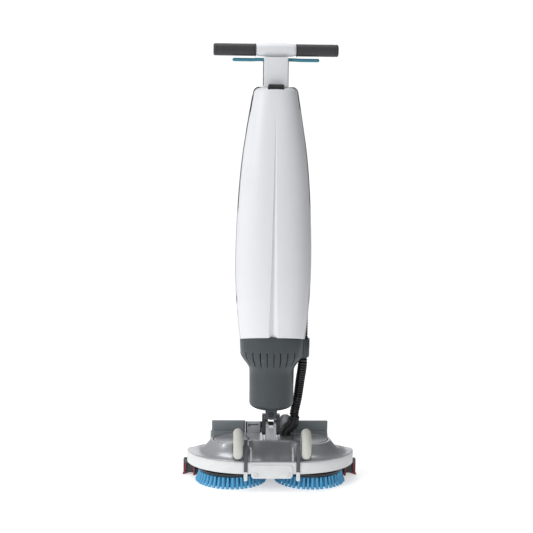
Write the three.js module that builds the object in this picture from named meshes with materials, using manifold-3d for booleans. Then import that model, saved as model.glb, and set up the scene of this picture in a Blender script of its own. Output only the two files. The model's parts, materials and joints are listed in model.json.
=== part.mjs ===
// An upright battery floor scrubber: a low deck with two counter-standing disc brushes and a curved
// squeegee,
// and a column that stands on a two-axis joint and carries two tanks, the suction motor and a T-handle.
// Millimetres, +Z up, +X to the machine's left as its user stands behind it, -Y the way it drives.
// The brushes and the squeegee stand on z = 0. Nodes are closed solids, joined and cut with manifold-3d.
import * as THREE from "three";
import { mergeVertices } from "three/addons/utils/BufferGeometryUtils.js";
import Module from "manifold-3d";

const wasm = await Module();
wasm.setup();

// ---- Clearances and walls ----
const GAP = 0.3; // between pieces that touch
const RUN = 1.0; // round pieces that turn
const SHELL = 3; // moulded walls

// ---- Brushes ----
const BRUSH_X = 108;
const BRISTLE_R = 96; // at the floor, where the tufts flare out
const BRISTLE_TOP_R = 88;
const BRISTLE_HOLE_R = 46;
const BRISTLE_H = 30;
const BLOCK_R = 90;
const BLOCK_H = 10;
const HUB_R = 16;
const HUB_H = 14;

// ---- Deck ----
const DECK_FLOOR_Z = 56; // underside of the chassis
const CHASSIS_T = 16;
const EDGE_Z = 78; // where the cover meets the bumper
const PLATEAU_Z = 114; // flat top of the domes and of the middle
const PLATEAU_FRONT_Y = -20;
const WALL_Y = 60; // front of the battery bay
const BAY_TOP_Z = 146;
const DECK_REAR_Y = 150;
const FRONT_Y = -109; // front of the bumper
const SIDE_X = 229; // ends of the bumper
const CORNER_Y = 25; // the bumper ends here
const CORNER_X = 62; // its rounded corners start here
const BUMPER_T = 14;
const BUMPER_Z = 46;
const COVER_INSET = 3;
const DOME_R = 57;
const DOME_FLARE_R = 96;
const CAP_R = 47;
const CAP_T = 5;
const CAP_GAP = 3;
const MOTOR_R = 40;
const MOTOR_H = 34;
const PLATE_W = 111; // plate on the front of the bumper
const PLATE_Z = 35;
const PLATE_T = 3;
const SCREW_R = 7;
const SCREW_T = 2.5;
const SCREW_X = 44;
const SCREW_Z = 45;

// ---- Transport wheels ----
const WHEEL_X = 91;
const WHEEL_Y = -92;
const WHEEL_Z = 125;
const WHEEL_R = 41;
const WHEEL_W = 25;
const WHEEL_BORE_R = 20;
const AXLE_R = 5;
const STRAP_X = 70;
const STRAP_W = 9.4;
const STRAP_T = 10;
const STRAP_Z = 53;
const STRAP_TOP_Z = 137;
const TAB_Z = 28;
const TAB_W = 10;
const TAB_T = 6;

// ---- Two-axis joint ----
const PITCH_Z = 138;
const ROLL_Z = 187;
const BRACKET_W = 29;
const BRACKET_D = 36;
const BRACKET_TOP_Z = 168;
const BRACKET_SLOT_W = 15;
const PITCH_PIN_R = 6;
const YOKE_W = 48;
const YOKE_ARM_T = 9;
const YOKE_D = 26;
const ROLL_PIN_R = 7;
const YOKE_HEAD_R = 15;

// ---- Column ----
const HOUSING_R = 60; // round lower part
const HOUSING_FOOT_R = 27;
const HOUSING_Z = 201; // underside
const HOUSING_ROUND = 14;
const HOUSING_NECK_Z = 308; // the round part starts to widen
const HOUSING_COLLAR_Z = 350;
const SEAT_Z = 395; // tanks rest here
const SEAT_RISE = 20; // the front tank's seat rises this much to the front
const BODY_TOP_Z = 1068;
const SPINE_FRONT_Y = -22;
const SPINE_REAR_Y = 20;
const FRONT_RATIO = 0.8; // front tank depth to half width
const REAR_RATIO = 0.98; // rear tank depth to half width
const BODY_POWER = 2.5; // squareness of the section
const NECK_W = 68;
const NECK_D = 40;
const NECK_COVER_T = 3;
const COLUMN_W = 30; // tube inside the spine that carries the mast

// ---- Handle ----
const GRIP_Z = BODY_TOP_Z + 96;
const GRIP_R = 16;
const GRIP_HALF = 164; // middle of the handle to the end of a grip
const CENTRE_W = 105;
const CENTRE_R = 18;
const BAR_R = 11;
const LEVER_PIVOT_X = 33;
const LEVER_END_X = 114;
const LEVER_TOP_Z = GRIP_Z - 20.5;
const LEVER_T = 8;
const LEVER_D = 20;

// ---- Control panel ----
const PANEL_T = 12;
const PANEL_H = 66;
const BUTTON_R = 9;
const BUTTON_RISE = 2.5; // a button stands out of the panel by this
const BUTTON_Z = { power: BODY_TOP_Z + 56, water: BODY_TOP_Z + 26 };

// ---- Tanks ----
const SHOULDER_R = 13;
const FILLER_X = -40;
const FILLER_Z = BODY_TOP_Z - 163;
const FILLER_R = 13;
const CAP_FLANGE_R = 17;
const INLET_X = 36; // where the dirty water enters the rear tank
const INLET_Z = 930;
const CAP_H = 9;
const LATCH_W = 41;
const LATCH_H = 9;
const LATCH_D = 14;
const TANK_BACK_CLEAR = 3.5; // lets the foot of the front tank swing
const GROOVE_W = 23;
const GROOVE_TOP_Z = 955;
const GROOVE_D = 9;

// ---- Suction ----
const HOSE_R = 13;
const HOSE_SIDES = 12;
const ELBOW_R = 15;
const ELBOW_X = 42; // the elbow stands on the cover here
const ELBOW_Y = 40;
const HOSE_PORT_Z = 529; // the hose meets the spine here
const LUG_R = 18;
const DUCT_TOP_Z = 90;
const DUCT_HALF = 19;

// ---- Batteries ----
const BATTERY_X = 68; // inner side
const BATTERY_W = 94;
const BATTERY_D = 82;
const BATTERY_Z = 82;
const TRAY_T = 4;
const BACKING_R = 16; // round-topped plate behind the suction elbow
const BACKING_TOP_Z = 168;

// ---- Squeegee ----
const SQUEEGEE_R = 238;
const SQUEEGEE_Y = 185; // rearmost point of its middle line
const SQUEEGEE_HALF_X = 222; // middle line at its ends
const SQUEEGEE_TOP_Z = 48;
const BLADE_H = 34;
const BLADE_T = 4;
const BLADE_SPREAD = 26; // between the two blades' middle lines
const LIP = 8; // outward lean of the rear blade at its ends
const KNOB_R = 13;
const KNOB_H = 12;

// ---- Worked out from the sizes above ----
const SQUEEGEE_CY = SQUEEGEE_Y - SQUEEGEE_R; // centre of the squeegee's arc
const SQUEEGEE_END = Math.acos(SQUEEGEE_HALF_X / SQUEEGEE_R);
const FRONT_END = WHEEL_Y - WHEEL_R;
const SQUEEGEE_HALF = BLADE_SPREAD / 2 + BLADE_T;
const REAR_END = SQUEEGEE_Y + SQUEEGEE_HALF;
const CENTRE_Y = (FRONT_END + REAR_END) / 2;
const MIRROR = { left: 1, right: -1 };

const HANDLE_Y = SPINE_FRONT_Y + NECK_D / 2;
const PANEL_Y = SPINE_FRONT_Y + GAP + NECK_D + GAP;

const DUCT_Z = DECK_FLOOR_Z + CHASSIS_T + GAP + TRAY_T + GAP;
const TANK_HEIGHTS = [465, 545, 650, 760, 860, 955, 1015]; // sections of the body between its ends
const DECK_SEGMENTS = 8;
const BAY_HALF_X = BATTERY_X + BATTERY_W + TRAY_T;
const PORT_R = 15;
const HOSE_Y = (SPINE_FRONT_Y + SPINE_REAR_Y) / 2;
const ELBOW_ROUTE = [[66, ELBOW_Y, 166], [66, ELBOW_Y, 157], [63, ELBOW_Y, 144], [54, ELBOW_Y, 134],
  [45, ELBOW_Y, 127], [ELBOW_X, ELBOW_Y, 120], [ELBOW_X, ELBOW_Y, PLATEAU_Z + GAP]];
const HOSE_LOW_ROUTE = [[66, ELBOW_Y, 166 + GAP], [66, ELBOW_Y, 175], [69, 37, 195], [73.6, 31, 221],
    [75, 29, 232]];

// Half width of the body at a height: a barrel that is widest below its middle.
const bodyCurve = new THREE.SplineCurve(
  [[86, 386], [93, 445], [98.5, 515], [101, 605], [98.5, 710], [93.8, 800], [85.8, 886], [75.6, 955],
      [57, 1068]]
    .map(([x, z]) => new THREE.Vector2(x, z)),
);
const BODY_SAMPLES = bodyCurve.getPoints(60);

function bodyHalf(z) {
  const upper = BODY_SAMPLES.findIndex((p) => p.y >= z);
  if (upper <= 0) return upper === 0 ? BODY_SAMPLES[0].x : BODY_SAMPLES.at(-1).x;
  const [a, b] = [BODY_SAMPLES[upper - 1], BODY_SAMPLES[upper]];
  return a.x + ((b.x - a.x) * (z - a.y)) / (b.y - a.y);
}

// ---- Solids ----
function solid(geometry) {
  const bare = geometry.clone();
  bare.deleteAttribute("normal");
  bare.deleteAttribute("uv");
  bare.clearGroups();
  const merged = mergeVertices(bare, 1e-3);
  const triVerts = new Uint32Array(merged.index.array);
  const build = () =>
    new wasm.Manifold(new wasm.Mesh({ numProp: 3, vertProperties: merged.attributes.position.array,
        triVerts }));
  const made = build();
  if (made.volume() > 0) return made;
  for (let i = 0; i < triVerts.length; i += 3) {
    [triVerts[i + 1], triVerts[i + 2]] = [triVerts[i + 2], triVerts[i + 1]];
  }
  return build();
}

function surface(manifold) {
  const mesh = manifold.getMesh();
  const points = new Float32Array(mesh.numVert * 3);
  for (let i = 0; i < mesh.numVert; i += 1) {
    points.set(mesh.vertProperties.subarray(i * mesh.numProp, i * mesh.numProp + 3), i * 3);
  }
  const geometry = new THREE.BufferGeometry();
  geometry.setAttribute("position", new THREE.BufferAttribute(points, 3));
  geometry.setIndex(new THREE.BufferAttribute(new Uint32Array(mesh.triVerts), 1));
  geometry.computeVertexNormals();
  return geometry;
}

const join = (...parts) => parts.reduce((sum, part) => sum.add(part));
const cut = (from, ...tools) => tools.reduce((rest, tool) => rest.subtract(tool), from);

function box([x0, x1], [y0, y1], [z0, z1]) {
  const geometry = new THREE.BoxGeometry(x1 - x0, y1 - y0, z1 - z0);
  return solid(geometry.translate((x0 + x1) / 2, (y0 + y1) / 2, (z0 + z1) / 2));
}

// A cylinder or cone from one height to another, about a line along Z.
function cylinderZ(r, [z0, z1], x = 0, y = 0, sides = 32, topR = r) {
  const geometry = new THREE.CylinderGeometry(topR, r, z1 - z0, sides).rotateX(Math.PI / 2);
  return solid(geometry.translate(x, y, (z0 + z1) / 2));
}

function cylinderX(r, [x0, x1], y, z, sides = 24) {
  const geometry = new THREE.CylinderGeometry(r, r, x1 - x0, sides).rotateZ(Math.PI / 2);
  return solid(geometry.translate((x0 + x1) / 2, y, z));
}

function cylinderY(r, [y0, y1], x, z, sides = 24) {
  return solid(new THREE.CylinderGeometry(r, r, y1 - y0, sides).translate(x, (y0 + y1) / 2, z));
}

// A turned solid about Z from [radius, height] pairs.
function turned(profile, sides = 40, x = 0, y = 0) {
  const points = profile.map(([r, z]) => new THREE.Vector2(r, z));
  return solid(new THREE.LatheGeometry(points, sides).rotateX(Math.PI / 2).translate(x, y, 0));
}

// A turned solid about a line along X, from [radius, distance along X] pairs.
function turnedX(profile, sides, x, y, z) {
  const points = profile.map(([r, along]) => new THREE.Vector2(r, along));
  return solid(new THREE.LatheGeometry(points, sides).rotateZ(-Math.PI / 2).translate(x, y, z));
}

function outline(points) {
  return new THREE.Shape(points.map(([x, y]) => new THREE.Vector2(x, y)));
}

// A flat outline in XY raised from one height to another.
function plate(shape, [z0, z1], curveSegments = 12) {
  const geometry = new THREE.ExtrudeGeometry(shape, { depth: z1 - z0, bevelEnabled: false,
      curveSegments });
  return solid(geometry.translate(0, 0, z0));
}

// A flat outline in YZ carried along X.
function plateX(shape, [x0, x1], curveSegments = 10) {
  const geometry = new THREE.ExtrudeGeometry(shape, { depth: x1 - x0, bevelEnabled: false,
      curveSegments });
  return solid(geometry.rotateX(Math.PI / 2).rotateZ(Math.PI / 2).translate(x0, 0, 0));
}

// A flat outline in XZ carried along Y.
function plateY(shape, [y0, y1], curveSegments = 10) {
  const geometry = new THREE.ExtrudeGeometry(shape, { depth: y1 - y0, bevelEnabled: false,
      curveSegments });
  return solid(geometry.rotateX(Math.PI / 2).translate(0, y1, 0));
}

function roundedBox(w, h, r, x = 0, y = 0) {
  const shape = new THREE.Shape();
  const [a, b] = [w / 2 - r, h / 2 - r];
  shape.absarc(x + a, y + b, r, 0, Math.PI / 2);
  shape.absarc(x - a, y + b, r, Math.PI / 2, Math.PI);
  shape.absarc(x - a, y - b, r, Math.PI, 1.5 * Math.PI);
  shape.absarc(x + a, y - b, r, 1.5 * Math.PI, 2 * Math.PI);
  return shape;
}

// A skin over rings of equal length, closed with a fan at each end.
function loft(rings) {
  const n = rings[0].length;
  const ends = [rings[0], rings.at(-1)].map((ring) =>
    ring.reduce((sum, p) => sum.add(p), new THREE.Vector3()).divideScalar(n),
  );
  const points = [...rings.flat(), ...ends];
  const [low, high] = [rings.length * n, rings.length * n + 1];
  const faces = [];
  for (let j = 0; j < n; j += 1) {
    const k = (j + 1) % n;
    faces.push(low, k, j, high, (rings.length - 1) * n + j, (rings.length - 1) * n + k);
    for (let i = 0; i + 1 < rings.length; i += 1) {
      const [a, b, c, d] = [i * n + j, i * n + k, (i + 1) * n + k, (i + 1) * n + j];
      faces.push(a, b, c, a, c, d);
    }
  }
  const geometry = new THREE.BufferGeometry().setFromPoints(points);
  geometry.setIndex(faces);
  return solid(geometry);
}

// A tube of even radius along a route of points.
function tube(route, radius, steps, sides = HOSE_SIDES) {
  const section = new THREE.Shape();
  for (let i = 0; i < sides; i += 1) {
    const angle = (2 * Math.PI * i) / sides;
    const [x, y] = [radius * Math.cos(angle), radius * Math.sin(angle)];
    if (i) section.lineTo(x, y);
    else section.moveTo(x, y);
  }
  const curve = new THREE.CatmullRomCurve3(route.map((p) => new THREE.Vector3(...p)), false,
      "centripetal");
  return solid(new THREE.ExtrudeGeometry(section, { steps, bevelEnabled: false, extrudePath: curve }));
}

// ---- Nodes ----
const machine = new THREE.Group();
machine.position.y = -CENTRE_Y;

const FINISH = {
  white: [0xe9eaee, 0.42, 0],
  silver: [0x8f9194, 0.45, 0.3],
  charcoal: [0x596166, 0.5, 0],
  black: [0x1c1c1f, 0.6, 0],
  grip: [0x48484b, 0.85, 0],
  teal: [0x3f8596, 0.5, 0],
  wheel: [0xc9cbc5, 0.6, 0],
  blue: [0x3d8fc0, 0.55, 0],
  battery: [0x6f777b, 0.55, 0],
  steel: [0xb9bcc0, 0.3, 0.9],
  red: [0x74303d, 0.6, 0],
  strap: [0x4b4d53, 0.5, 0.2],
};

function add(name, manifold, finish) {
  const [color, roughness, metalness] = FINISH[finish];
  const mesh = new THREE.Mesh(surface(manifold), new THREE.MeshStandardMaterial({ color, roughness,
      metalness }));
  mesh.name = name;
  machine.add(mesh);
}

// Outline of the deck seen from above, drawn in from the outside of the bumper by a distance.
function deckShape(inset, rearPoints) {
  const shape = new THREE.Shape();
  const [rx, ry] = [SIDE_X - CORNER_X - inset, CORNER_Y - FRONT_Y - inset];
  shape.moveTo(-SIDE_X + inset, CORNER_Y);
  shape.absellipse(-CORNER_X, CORNER_Y, rx, ry, Math.PI, 1.5 * Math.PI, false);
  shape.absellipse(CORNER_X, CORNER_Y, rx, ry, 1.5 * Math.PI, 2 * Math.PI, false);
  rearPoints.forEach(([x, y]) => shape.lineTo(x, y));
  return shape;
}

// ---- Deck ----

function chassis() {
  const inset = BUMPER_T + GAP + SHELL;
  const rear = [[SIDE_X - inset, CORNER_Y + 10], [BAY_HALF_X, WALL_Y + 20], [BAY_HALF_X, DECK_REAR_Y],
    [-BAY_HALF_X, DECK_REAR_Y], [-BAY_HALF_X, WALL_Y + 20], [-SIDE_X + inset, CORNER_Y + 10]];
  const z = [DECK_FLOOR_Z, DECK_FLOOR_Z + CHASSIS_T];
  const slab = plate(deckShape(inset, rear), z, DECK_SEGMENTS);
  const shaftHoles = Object.values(MIRROR).map((s) => cylinderZ(HUB_R + RUN, [z[0] - 1, z[1] + 1],
      s * BRUSH_X));
  return cut(slab, ...shaftHoles);
}

// The cover's top flares down from each dome in a hollow curve, and from the middle to the front edge.
function deckCover() {
  const rear = [[SIDE_X - COVER_INSET, CORNER_Y + 6], [BAY_HALF_X + 20, WALL_Y - GAP],
    [-BAY_HALF_X - 20, WALL_Y - GAP], [-SIDE_X + COVER_INSET, CORNER_Y + 6]];
  const bottom = EDGE_Z + GAP;
  const skirt = plate(deckShape(COVER_INSET, rear), [bottom, bottom + 4], DECK_SEGMENTS);
  const lip = 2;
  const flare = [[0, bottom], [DOME_FLARE_R + 12, bottom], [DOME_FLARE_R, EDGE_Z + 6], [76, EDGE_Z + 14],
    [DOME_R + 4, EDGE_Z + 26], [DOME_R, PLATEAU_Z - lip], [DOME_R - lip, PLATEAU_Z], [0, PLATEAU_Z]];
  const domes = Object.values(MIRROR).map((s) => turned(flare, 32, s * BRUSH_X));
  const front = outline([[FRONT_Y + COVER_INSET, bottom], [FRONT_Y + COVER_INSET, bottom + 3], [-62,
      EDGE_Z + 8],
    [-34, EDGE_Z + 20], [PLATEAU_FRONT_Y - 3, PLATEAU_Z - 4], [PLATEAU_FRONT_Y, PLATEAU_Z],
        [WALL_Y - GAP, PLATEAU_Z],
    [WALL_Y - GAP, bottom]]);
  const middle = plateX(front, [-BRUSH_X, BRUSH_X]);
  const body = join(skirt, middle, ...domes).intersect(plate(deckShape(COVER_INSET, rear), [bottom,
      PLATEAU_Z], 10));
  const hollow = (s) => cylinderZ(MOTOR_R + SHELL, [bottom - 1, PLATEAU_Z - CAP_T - SHELL], s * BRUSH_X);
  const groove = (s) => cylinderZ(CAP_R + CAP_GAP, [PLATEAU_Z - CAP_T, PLATEAU_Z + 1], s * BRUSH_X);
  const belly = box([-BRUSH_X + MOTOR_R, BRUSH_X - MOTOR_R], [-14, WALL_Y + 1], [bottom - 1,
      PLATEAU_Z - 2 * SHELL]);
  const port = cylinderZ(ELBOW_R - SHELL, [EDGE_Z, PLATEAU_Z + 1], ELBOW_X, ELBOW_Y, 20);
  return cut(body, hollow(1), hollow(-1), groove(1), groove(-1), belly, port, bracketSeat());
}

// The foot of the joint's bracket passes through the cover.
function bracketSeat() {
  const [w, d] = [BRACKET_W / 2 + GAP, BRACKET_D / 2 + GAP];
  return box([-w, w], [-d, d], [EDGE_Z - 1, PLATEAU_Z + 1]);
}

function bumper() {
  const shape = deckShape(0, []);
  const inner = [SIDE_X - CORNER_X - BUMPER_T, CORNER_Y - FRONT_Y - BUMPER_T];
  shape.lineTo(SIDE_X - BUMPER_T, CORNER_Y);
  shape.absellipse(CORNER_X, CORNER_Y, ...inner, 2 * Math.PI, 1.5 * Math.PI, true);
  shape.absellipse(-CORNER_X, CORNER_Y, ...inner, 1.5 * Math.PI, Math.PI, true);
  const band = plate(shape, [BUMPER_Z, EDGE_Z], DECK_SEGMENTS);
  const straps = Object.values(MIRROR).map((s) => {
    const half = STRAP_W / 2 + GAP;
    return box([s * STRAP_X - half, s * STRAP_X + half], [FRONT_Y - 1, strapBack() + GAP],
        [BUMPER_Z - 1, EDGE_Z + 1]);
  });
  return cut(band, ...straps);
}

const strapBack = () => FRONT_Y + STRAP_T - PLATE_T;

function frontPlate() {
  const height = EDGE_Z - 6 - PLATE_Z;
  return plateY(roundedBox(PLATE_W, height, 9, 0, PLATE_Z + height / 2), [FRONT_Y - GAP - PLATE_T,
      FRONT_Y - GAP], 4);
}

function plateScrew(s) {
  const face = FRONT_Y - GAP - PLATE_T - GAP;
  return cylinderY(SCREW_R, [face - SCREW_T, face], s * SCREW_X, SCREW_Z, 20);
}

function brushMotor(s) {
  const z = DECK_FLOOR_Z + CHASSIS_T + GAP;
  const can = cylinderZ(MOTOR_R, [z, z + MOTOR_H - 6], s * BRUSH_X, 0, 36);
  return join(can, cylinderZ(MOTOR_R - 12, [z, z + MOTOR_H - 1], s * BRUSH_X, 0, 36));
}

function domeCap(s) {
  const z = PLATEAU_Z - CAP_T + GAP;
  return turned([[0, z], [CAP_R, z], [CAP_R, z + CAP_T - 2], [CAP_R - 2, z + CAP_T], [0, z + CAP_T]],
      36, s * BRUSH_X);
}

// The bracket's foot stands on the chassis, and its two cheeks hold the pitch pin.
function pivotBracket() {
  const z = DECK_FLOOR_Z + CHASSIS_T + GAP;
  const side = new THREE.Shape();
  side.moveTo(-BRACKET_D / 2, z);
  side.lineTo(BRACKET_D / 2, z);
  side.lineTo(BRACKET_D / 2, PITCH_Z);
  side.absarc(0, BRACKET_TOP_Z - BRACKET_D / 2, BRACKET_D / 2, 0, Math.PI);
  const block = plateX(side, [-BRACKET_W / 2, BRACKET_W / 2], 6);
  const slot = BRACKET_SLOT_W / 2;
  const window = box([-slot, slot], [-BRACKET_D, BRACKET_D], [PITCH_Z + PITCH_PIN_R + 2,
      BRACKET_TOP_Z + 1]);
  return cut(block, window, cylinderX(PITCH_PIN_R + GAP, [-BRACKET_W, BRACKET_W], 0, PITCH_Z));
}

const pitchPin = () => cylinderX(PITCH_PIN_R, [-YOKE_W / 2 - 2, YOKE_W / 2 + 2], 0, PITCH_Z);

// One tray under both batteries, with a wall between the two that faces forward.
function batteryTray() {
  const z = DECK_FLOOR_Z + CHASSIS_T + GAP;
  const floor = box([-BAY_HALF_X, BAY_HALF_X], [WALL_Y, DECK_REAR_Y], [z, z + TRAY_T]);
  const bays = Object.values(MIRROR).map((s) => {
    const [inner, outer] = [s * (BATTERY_X - GAP), s * BAY_HALF_X].sort((a, b) => a - b);
    const rim = box([inner, outer], [WALL_Y, DECK_REAR_Y], [z, z + 24]);
    const [a, b] = [s * (BATTERY_X - 2 * GAP), s * (BATTERY_X + BATTERY_W + RUN)].sort((p, q) => p - q);
    return cut(rim, box([a, b], [WALL_Y + TRAY_T, DECK_REAR_Y - TRAY_T], [z + TRAY_T, z + 25]));
  });
  const walls = Object.values(MIRROR).map((s) => {
    const [a, b] = [s * (YOKE_W / 2 + 3), s * (BATTERY_X - RUN)].sort((p, q) => p - q);
    return box([a, b], [WALL_Y, WALL_Y + TRAY_T], [z, BAY_TOP_Z]);
  });
  const backing = roundedBox(2 * BACKING_R, BACKING_TOP_Z - PLATEAU_Z - GAP, BACKING_R - 0.1, ELBOW_X,
    (BACKING_TOP_Z + PLATEAU_Z + GAP) / 2);
  const plateBack = plateY(backing, [WALL_Y - 5, WALL_Y + 1], 6);
  const duct = box([ELBOW_X - DUCT_HALF - GAP, ELBOW_X + DUCT_HALF + GAP], [WALL_Y - 1,
      WALL_Y + TRAY_T + 1],
    [z + TRAY_T, DUCT_TOP_Z + GAP]);
  return cut(join(floor, ...bays, ...walls, plateBack), duct);
}

// A strap on the front of the deck that carries a transport wheel.
function wheelBracket(s) {
  const x = [s * STRAP_X - STRAP_W / 2, s * STRAP_X + STRAP_W / 2];
  const side = outline([[FRONT_Y - PLATE_T, STRAP_Z], [strapBack(), STRAP_Z], [strapBack(), EDGE_Z + 12],
    [WHEEL_Y + 12, WHEEL_Z - 8], [WHEEL_Y + 12, STRAP_TOP_Z], [WHEEL_Y - 8, STRAP_TOP_Z],
        [FRONT_Y - PLATE_T, WHEEL_Z - 12]]);
  return cut(plateX(side, x), cylinderX(AXLE_R + GAP, [x[0] - 1, x[1] + 1], WHEEL_Y, WHEEL_Z));
}

const strapNotch = (s) =>
  box([s * STRAP_X - STRAP_W / 2 - GAP, s * STRAP_X + STRAP_W / 2 + GAP], [FRONT_Y - 10,
      WHEEL_Y + 12 + GAP],
    [EDGE_Z - 1, PLATEAU_Z + 20]);

// The cover is cut back where a transport wheel turns in front of it.
const wheelWell = (s) => {
  const x = s * WHEEL_X;
  return cylinderX(WHEEL_R + 3, [x - WHEEL_W / 2 - 3, x + WHEEL_W / 2 + 3], WHEEL_Y, WHEEL_Z);
};

function footTab(s) {
  const shape = roundedBox(TAB_W, STRAP_Z - GAP - TAB_Z, 3, s * STRAP_X, (STRAP_Z - GAP + TAB_Z) / 2);
  return plateY(shape, [FRONT_Y - PLATE_T, FRONT_Y - PLATE_T + TAB_T], 4);
}

function axle(s) {
  const [inner, outer] = [s * (STRAP_X - STRAP_W / 2 - 3), s * (WHEEL_X + WHEEL_W / 2 + 2)].sort((a,
      b) => a - b);
  return cylinderX(AXLE_R, [inner, outer], WHEEL_Y, WHEEL_Z, 16);
}

// ---- Wheels ----
function wheelTyre(s) {
  const half = WHEEL_W / 2;
  const crown = [0, 40, 90, 140, 180].map((deg) => {
    const t = (deg * Math.PI) / 180;
    return [WHEEL_R - half * (1 - Math.sin(t)), -half * Math.cos(t)];
  });
  const profile = [[WHEEL_BORE_R, -half], ...crown, [WHEEL_BORE_R, half], [WHEEL_BORE_R, -half]];
  return turnedX(profile, 28, s * WHEEL_X, WHEEL_Y, WHEEL_Z);
}

function wheelHub(s) {
  const x = s * WHEEL_X;
  const rim = cylinderX(WHEEL_BORE_R - GAP, [x - WHEEL_W / 2 + 1, x + WHEEL_W / 2 - 1], WHEEL_Y,
      WHEEL_Z, 32);
  return cut(rim, cylinderX(AXLE_R + GAP, [x - WHEEL_W, x + WHEEL_W], WHEEL_Y, WHEEL_Z, 16));
}

// ---- Brushes ----
function brushBlock(s) {
  const z = BRISTLE_H + GAP;
  const disc = turned([[0, z], [BLOCK_R - 4, z], [BLOCK_R, z + 4], [BLOCK_R, z + BLOCK_H], [0,
      z + BLOCK_H]], 32, s * BRUSH_X);
  return join(disc, cylinderZ(HUB_R, [z + BLOCK_H - 1, z + BLOCK_H + HUB_H + 12], s * BRUSH_X));
}

function bristles(s) {
  const profile = [[BRISTLE_HOLE_R, 0], [BRISTLE_R, 0], [BRISTLE_TOP_R, BRISTLE_H], [BRISTLE_HOLE_R,
      BRISTLE_H],
    [BRISTLE_HOLE_R, 0]];
  return turned(profile, 32, s * BRUSH_X);
}

// ---- Batteries ----
function battery(s) {
  const x = s * (BATTERY_X + BATTERY_W / 2);
  const y = WALL_Y + TRAY_T + GAP + BATTERY_D / 2;
  const block = plate(roundedBox(BATTERY_W - 1, BATTERY_D - 1, 6, x, y), [BATTERY_Z, BAY_TOP_Z], 4);
  return cut(block, box([x - 28, x + 28], [y - 12, y + 12], [BAY_TOP_Z - 14, BAY_TOP_Z + 1]));
}

// ---- Squeegee ----
function arcPoint(radius, angle) {
  return [radius * Math.cos(angle), SQUEEGEE_CY + radius * Math.sin(angle)];
}

function arcBand(radius, half, steps = 20) {
  const angle = (i) => SQUEEGEE_END + ((Math.PI - 2 * SQUEEGEE_END) * i) / steps;
  const indices = Array.from({ length: steps + 1 }, (_, i) => i);
  const outer = indices.map((i) => arcPoint(radius + half, angle(i)));
  const inner = indices.reverse().map((i) => arcPoint(radius - half, angle(i)));
  return outline([...outer, ...inner]);
}

function squeegeeBody() {
  const z = BLADE_H + GAP;
  const band = plate(arcBand(SQUEEGEE_R, SQUEEGEE_HALF), [z, SQUEEGEE_TOP_Z]);
  return cut(band, cylinderZ(PORT_R - SHELL, [z - 1, SQUEEGEE_TOP_Z + 1], 0, SQUEEGEE_Y, 20));
}

function blade(side) {
  return plate(arcBand(SQUEEGEE_R + (side * BLADE_SPREAD) / 2, BLADE_T / 2), [0, BLADE_H]);
}

// The rear blade ends in a lip that leans outward.
function rearBlade() {
  const ends = Object.values(MIRROR).map((s) => {
    const [x, y] = arcPoint(SQUEEGEE_R + BLADE_SPREAD / 2, SQUEEGEE_END);
    const corners = [[x - BLADE_T, y - 2], [x + LIP, y - 10], [x + LIP, y - 6], [x - 1, y + 4]];
    return plate(outline(corners.map(([px, py]) => [s * px, py])), [0, BLADE_H]);
  });
  return join(blade(1), ...ends);
}

function squeegeeKnob(s) {
  const [x, y] = arcPoint(SQUEEGEE_R, Math.PI / 2 - s * 0.42);
  const z = SQUEEGEE_TOP_Z + GAP;
  return turned([[0, z], [KNOB_R, z], [KNOB_R - 2, z + KNOB_H], [0, z + KNOB_H]], 10, x, y);
}

// ---- Two-axis joint ----
// Two arms hang outside the bracket on the pitch pin, and a cross barrel on top holds the roll pin.
function knuckleYoke() {
  const [half, depth] = [YOKE_W / 2, YOKE_D / 2];
  const side = new THREE.Shape();
  side.absarc(0, PITCH_Z, depth, Math.PI, 2 * Math.PI);
  side.lineTo(depth, ROLL_Z - 4);
  side.lineTo(-depth, ROLL_Z - 4);
  const arms = [-1, 1].map((s) => {
    const [a, b] = [s * (half - YOKE_ARM_T), s * half].sort((p, q) => p - q);
    return plateX(side, [a, b], 6);
  });
  const bridge = box([-half, half], [-depth, depth], [BRACKET_TOP_Z + 4, ROLL_Z - 5]);
  const barrel = cylinderY(YOKE_HEAD_R - 3, [-depth, depth], 0, ROLL_Z, 20);
  const bores = [cylinderX(PITCH_PIN_R + GAP, [-half - 1, half + 1], 0, PITCH_Z),
    cylinderY(ROLL_PIN_R + GAP, [-depth - 1, depth + 1], 0, ROLL_Z, 20)];
  return cut(join(...arms, bridge, barrel), ...bores);
}

const rollPin = () => cylinderY(ROLL_PIN_R, [-YOKE_D / 2 - 9, YOKE_D / 2 + 9], 0, ROLL_Z, 20);

// ---- Column ----
// One ring of the body: half the width to each side, its own depth to the front and to the rear.
function bodyRing(z, half, front, rear, power, steps = 24) {
  return Array.from({ length: steps }, (_, i) => {
    const t = (2 * Math.PI * i) / steps;
    const squash = (v) => Math.sign(v) * Math.abs(v) ** (2 / power);
    const [c, s] = [squash(Math.cos(t)), squash(Math.sin(t))];
    return new THREE.Vector3(half * c, s < 0 ? front * s : rear * s, z);
  });
}

const collarRear = () => REAR_RATIO * bodyHalf(SEAT_Z);

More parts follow.
